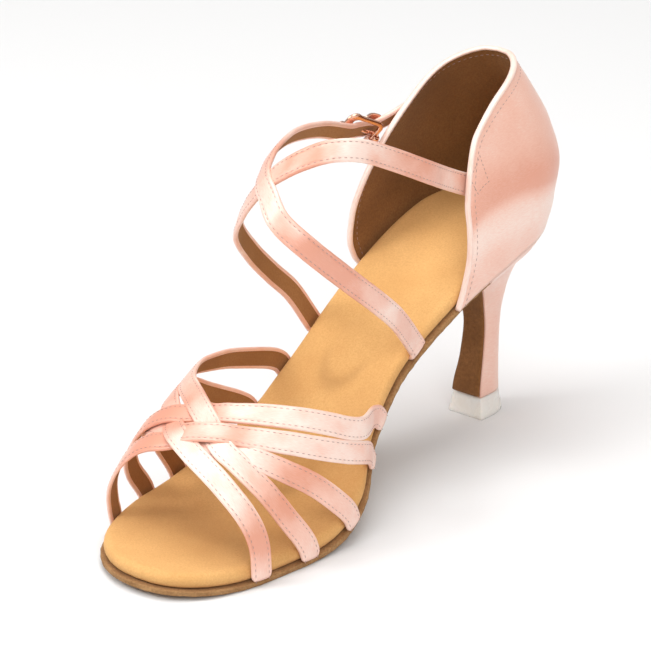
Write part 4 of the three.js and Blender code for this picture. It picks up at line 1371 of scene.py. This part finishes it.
def plated(name, line, section, node, closed=False, broaden=None):
    finished(name, cord(framed(line, closed), section, closed, broaden), [rose_metal], "rose_metal", node)


plated("buckle_frame_plated", even_frame, bevelled(1.9, 1.45, 0.5), "buckle_frame", True, front_bar)


def clasp_line(points, b, closed=False):
    """Framed stations across b, through points given as (a, n)."""
    made = []
    for i, (a, n) in enumerate(points):
        p = points[i - 1] if i or closed else points[i]
        q = points[(i + 1) % len(points)] if i + 1 < len(points) or closed else points[i]
        made.append((in_clasp(a, b, n), clasp_run * (p[1] - q[1]) + clasp_out * (q[0] - p[0])))
    return made


def around_bar(radius, degrees):
    """(a, n) of a place round the frame's rear bar."""
    a = math.radians(degrees)
    return clasp_half + radius * math.cos(a), clasp_rear + radius * math.sin(a)


def smooth_path(points, count):
    return [(p.x, p.y) for p in catmull([Vector((a, n, 0)) for a, n in points], count)]


prong_turn = bar_thickness / 2 + 1.05
prong = [around_bar(prong_turn, degrees) for degrees in (-150, -110, -70, -30, 10, 50, 90)]
prong += [(clasp_half - 3, clasp_rear + 3), (0, clasp_front - 1.05), (-clasp_half / 2, clasp_front + 0.75),
          (-clasp_half, clasp_front + 1.8), (-clasp_half - 1.6, clasp_front + 1.6)]
plated("buckle_pin_plated", clasp_line(smooth_path(prong, 60), 0), oval(1.6, 1.3, 12), "buckle_pin")
hook = [(3.4, 1.75), (5, 2.3), (7, 2.7), (9, 2.7), (11, 2.2), (12.6, 1.4)]
plated("buckle_hook_plated", clasp_line(smooth_path(hook, 30), 0), bevelled(9.6, 1, 0.3), "buckle_hook")
loop_turn = bar_thickness / 2 + 0.95
loop_path = [around_bar(loop_turn, degrees) for degrees in (90, 120, 150, 180, 210, 240, 270)]
far_side = [around_bar(loop_turn, degrees) for degrees in (270, 310, 350, 30, 70, 90)]
loop_path += [(a + 2.4, n) for a, n in far_side]
loop_line = framed(clasp_line(loop_path, -3.3, True), True)
finished("buckle_loop_satin", cord(loop_line, bevelled(3.6, 1, 0.35), True), [strap_satin], "satin",
         "hook_loop")

# %% [markdown]
# ## Floor, light and camera
#
# The shoe stands on a pale floor under soft studio light. The camera stands where the
# photograph was taken, at the same angle, and is turned so that this one shoe fills the
# frame. Its focal length is long, so the shoe keeps the flat look of a product picture.

# %% A pale floor
floor_finish, nodes, links, shader = new_finish("pale floor")
set_sockets(shader, Base_Color=(0.80, 0.80, 0.80, 1), Roughness=0.7, Specular_IOR_Level=0.2)
floor_bm = bmesh.new()
bmesh.ops.create_grid(floor_bm, x_segments=1, y_segments=1, size=6)
floor = in_scene("floor", mesh_of("floor", floor_bm))
floor.data.materials.append(floor_finish)

# %% Soft studio light
world = bpy.data.worlds.new("studio")
world.use_nodes = True
bpy.context.scene.world = world
backdrop = world.node_tree.nodes["Background"]
nodes, links = world.node_tree.nodes, world.node_tree.links
axes = nodes.new("ShaderNodeSeparateXYZ")
links.new(nodes.new("ShaderNodeTexCoord").outputs["Generated"], axes.inputs[0])
height = ranged(nodes, links, axes.outputs["Z"], 0.05, 0.6, 0.0, 1.0)
links.new(mixed_colour(nodes, links, height, (0.55, 0.54, 0.53), (1.0, 0.99, 0.98)), backdrop.inputs["Color"])
set_sockets(backdrop, Strength=0.6)


lit_point = Vector((0, 0, 0.06))


def soft_light(name, where, size, power):
    """A square lamp that looks at the shoe's middle."""
    lamp = bpy.data.lights.new(name, "AREA")
    lamp.shape, lamp.size, lamp.energy = "SQUARE", size, power
    light = in_scene(name, lamp)
    light.location = where
    light.rotation_mode = "QUATERNION"
    light.rotation_quaternion = (lit_point - Vector(where)).to_track_quat("-Z", "Y")


soft_light("key", (1.0, -0.75, 0.95), 0.8, 8)
soft_light("side", (-0.75, -1.05, 1.05), 0.6, 9)
soft_light("top", (-0.1, 0.0, 1.5), 1.1, 13)
bpy.context.scene.view_settings.view_transform = "Standard"

# %% The camera
azimuth, elevation = math.radians(37.5), math.radians(22.5)
arch_point, aside, above, away = place(0, 105, 45), 83.2, 23.9, 1250
look_left, look_down = 0.0692, 0.0076
back = Vector((
    math.sin(azimuth) * math.cos(elevation), -math.cos(azimuth) * math.cos(elevation), math.sin(elevation),
))
right = Vector((math.cos(azimuth), math.sin(azimuth), 0))
up = back.cross(right)
eye = in_metres(arch_point + right * aside + up * above + back * away)
look = (-back - right * look_left - up * look_down).normalized()
camera_back = -look
camera_up = (up - camera_back * up.dot(camera_back)).normalized()
turn = Matrix((camera_up.cross(camera_back), camera_up, camera_back)).transposed()
camera_data = bpy.data.cameras.new("camera")
camera_data.sensor_width, camera_data.lens = 36, 192
camera_data.clip_start, camera_data.clip_end = 0.05, 50
camera = in_scene("camera", camera_data)
camera.location = eye
camera.rotation_mode = "QUATERNION"
camera.rotation_quaternion = turn.to_quaternion()
bpy.context.scene.camera = camera
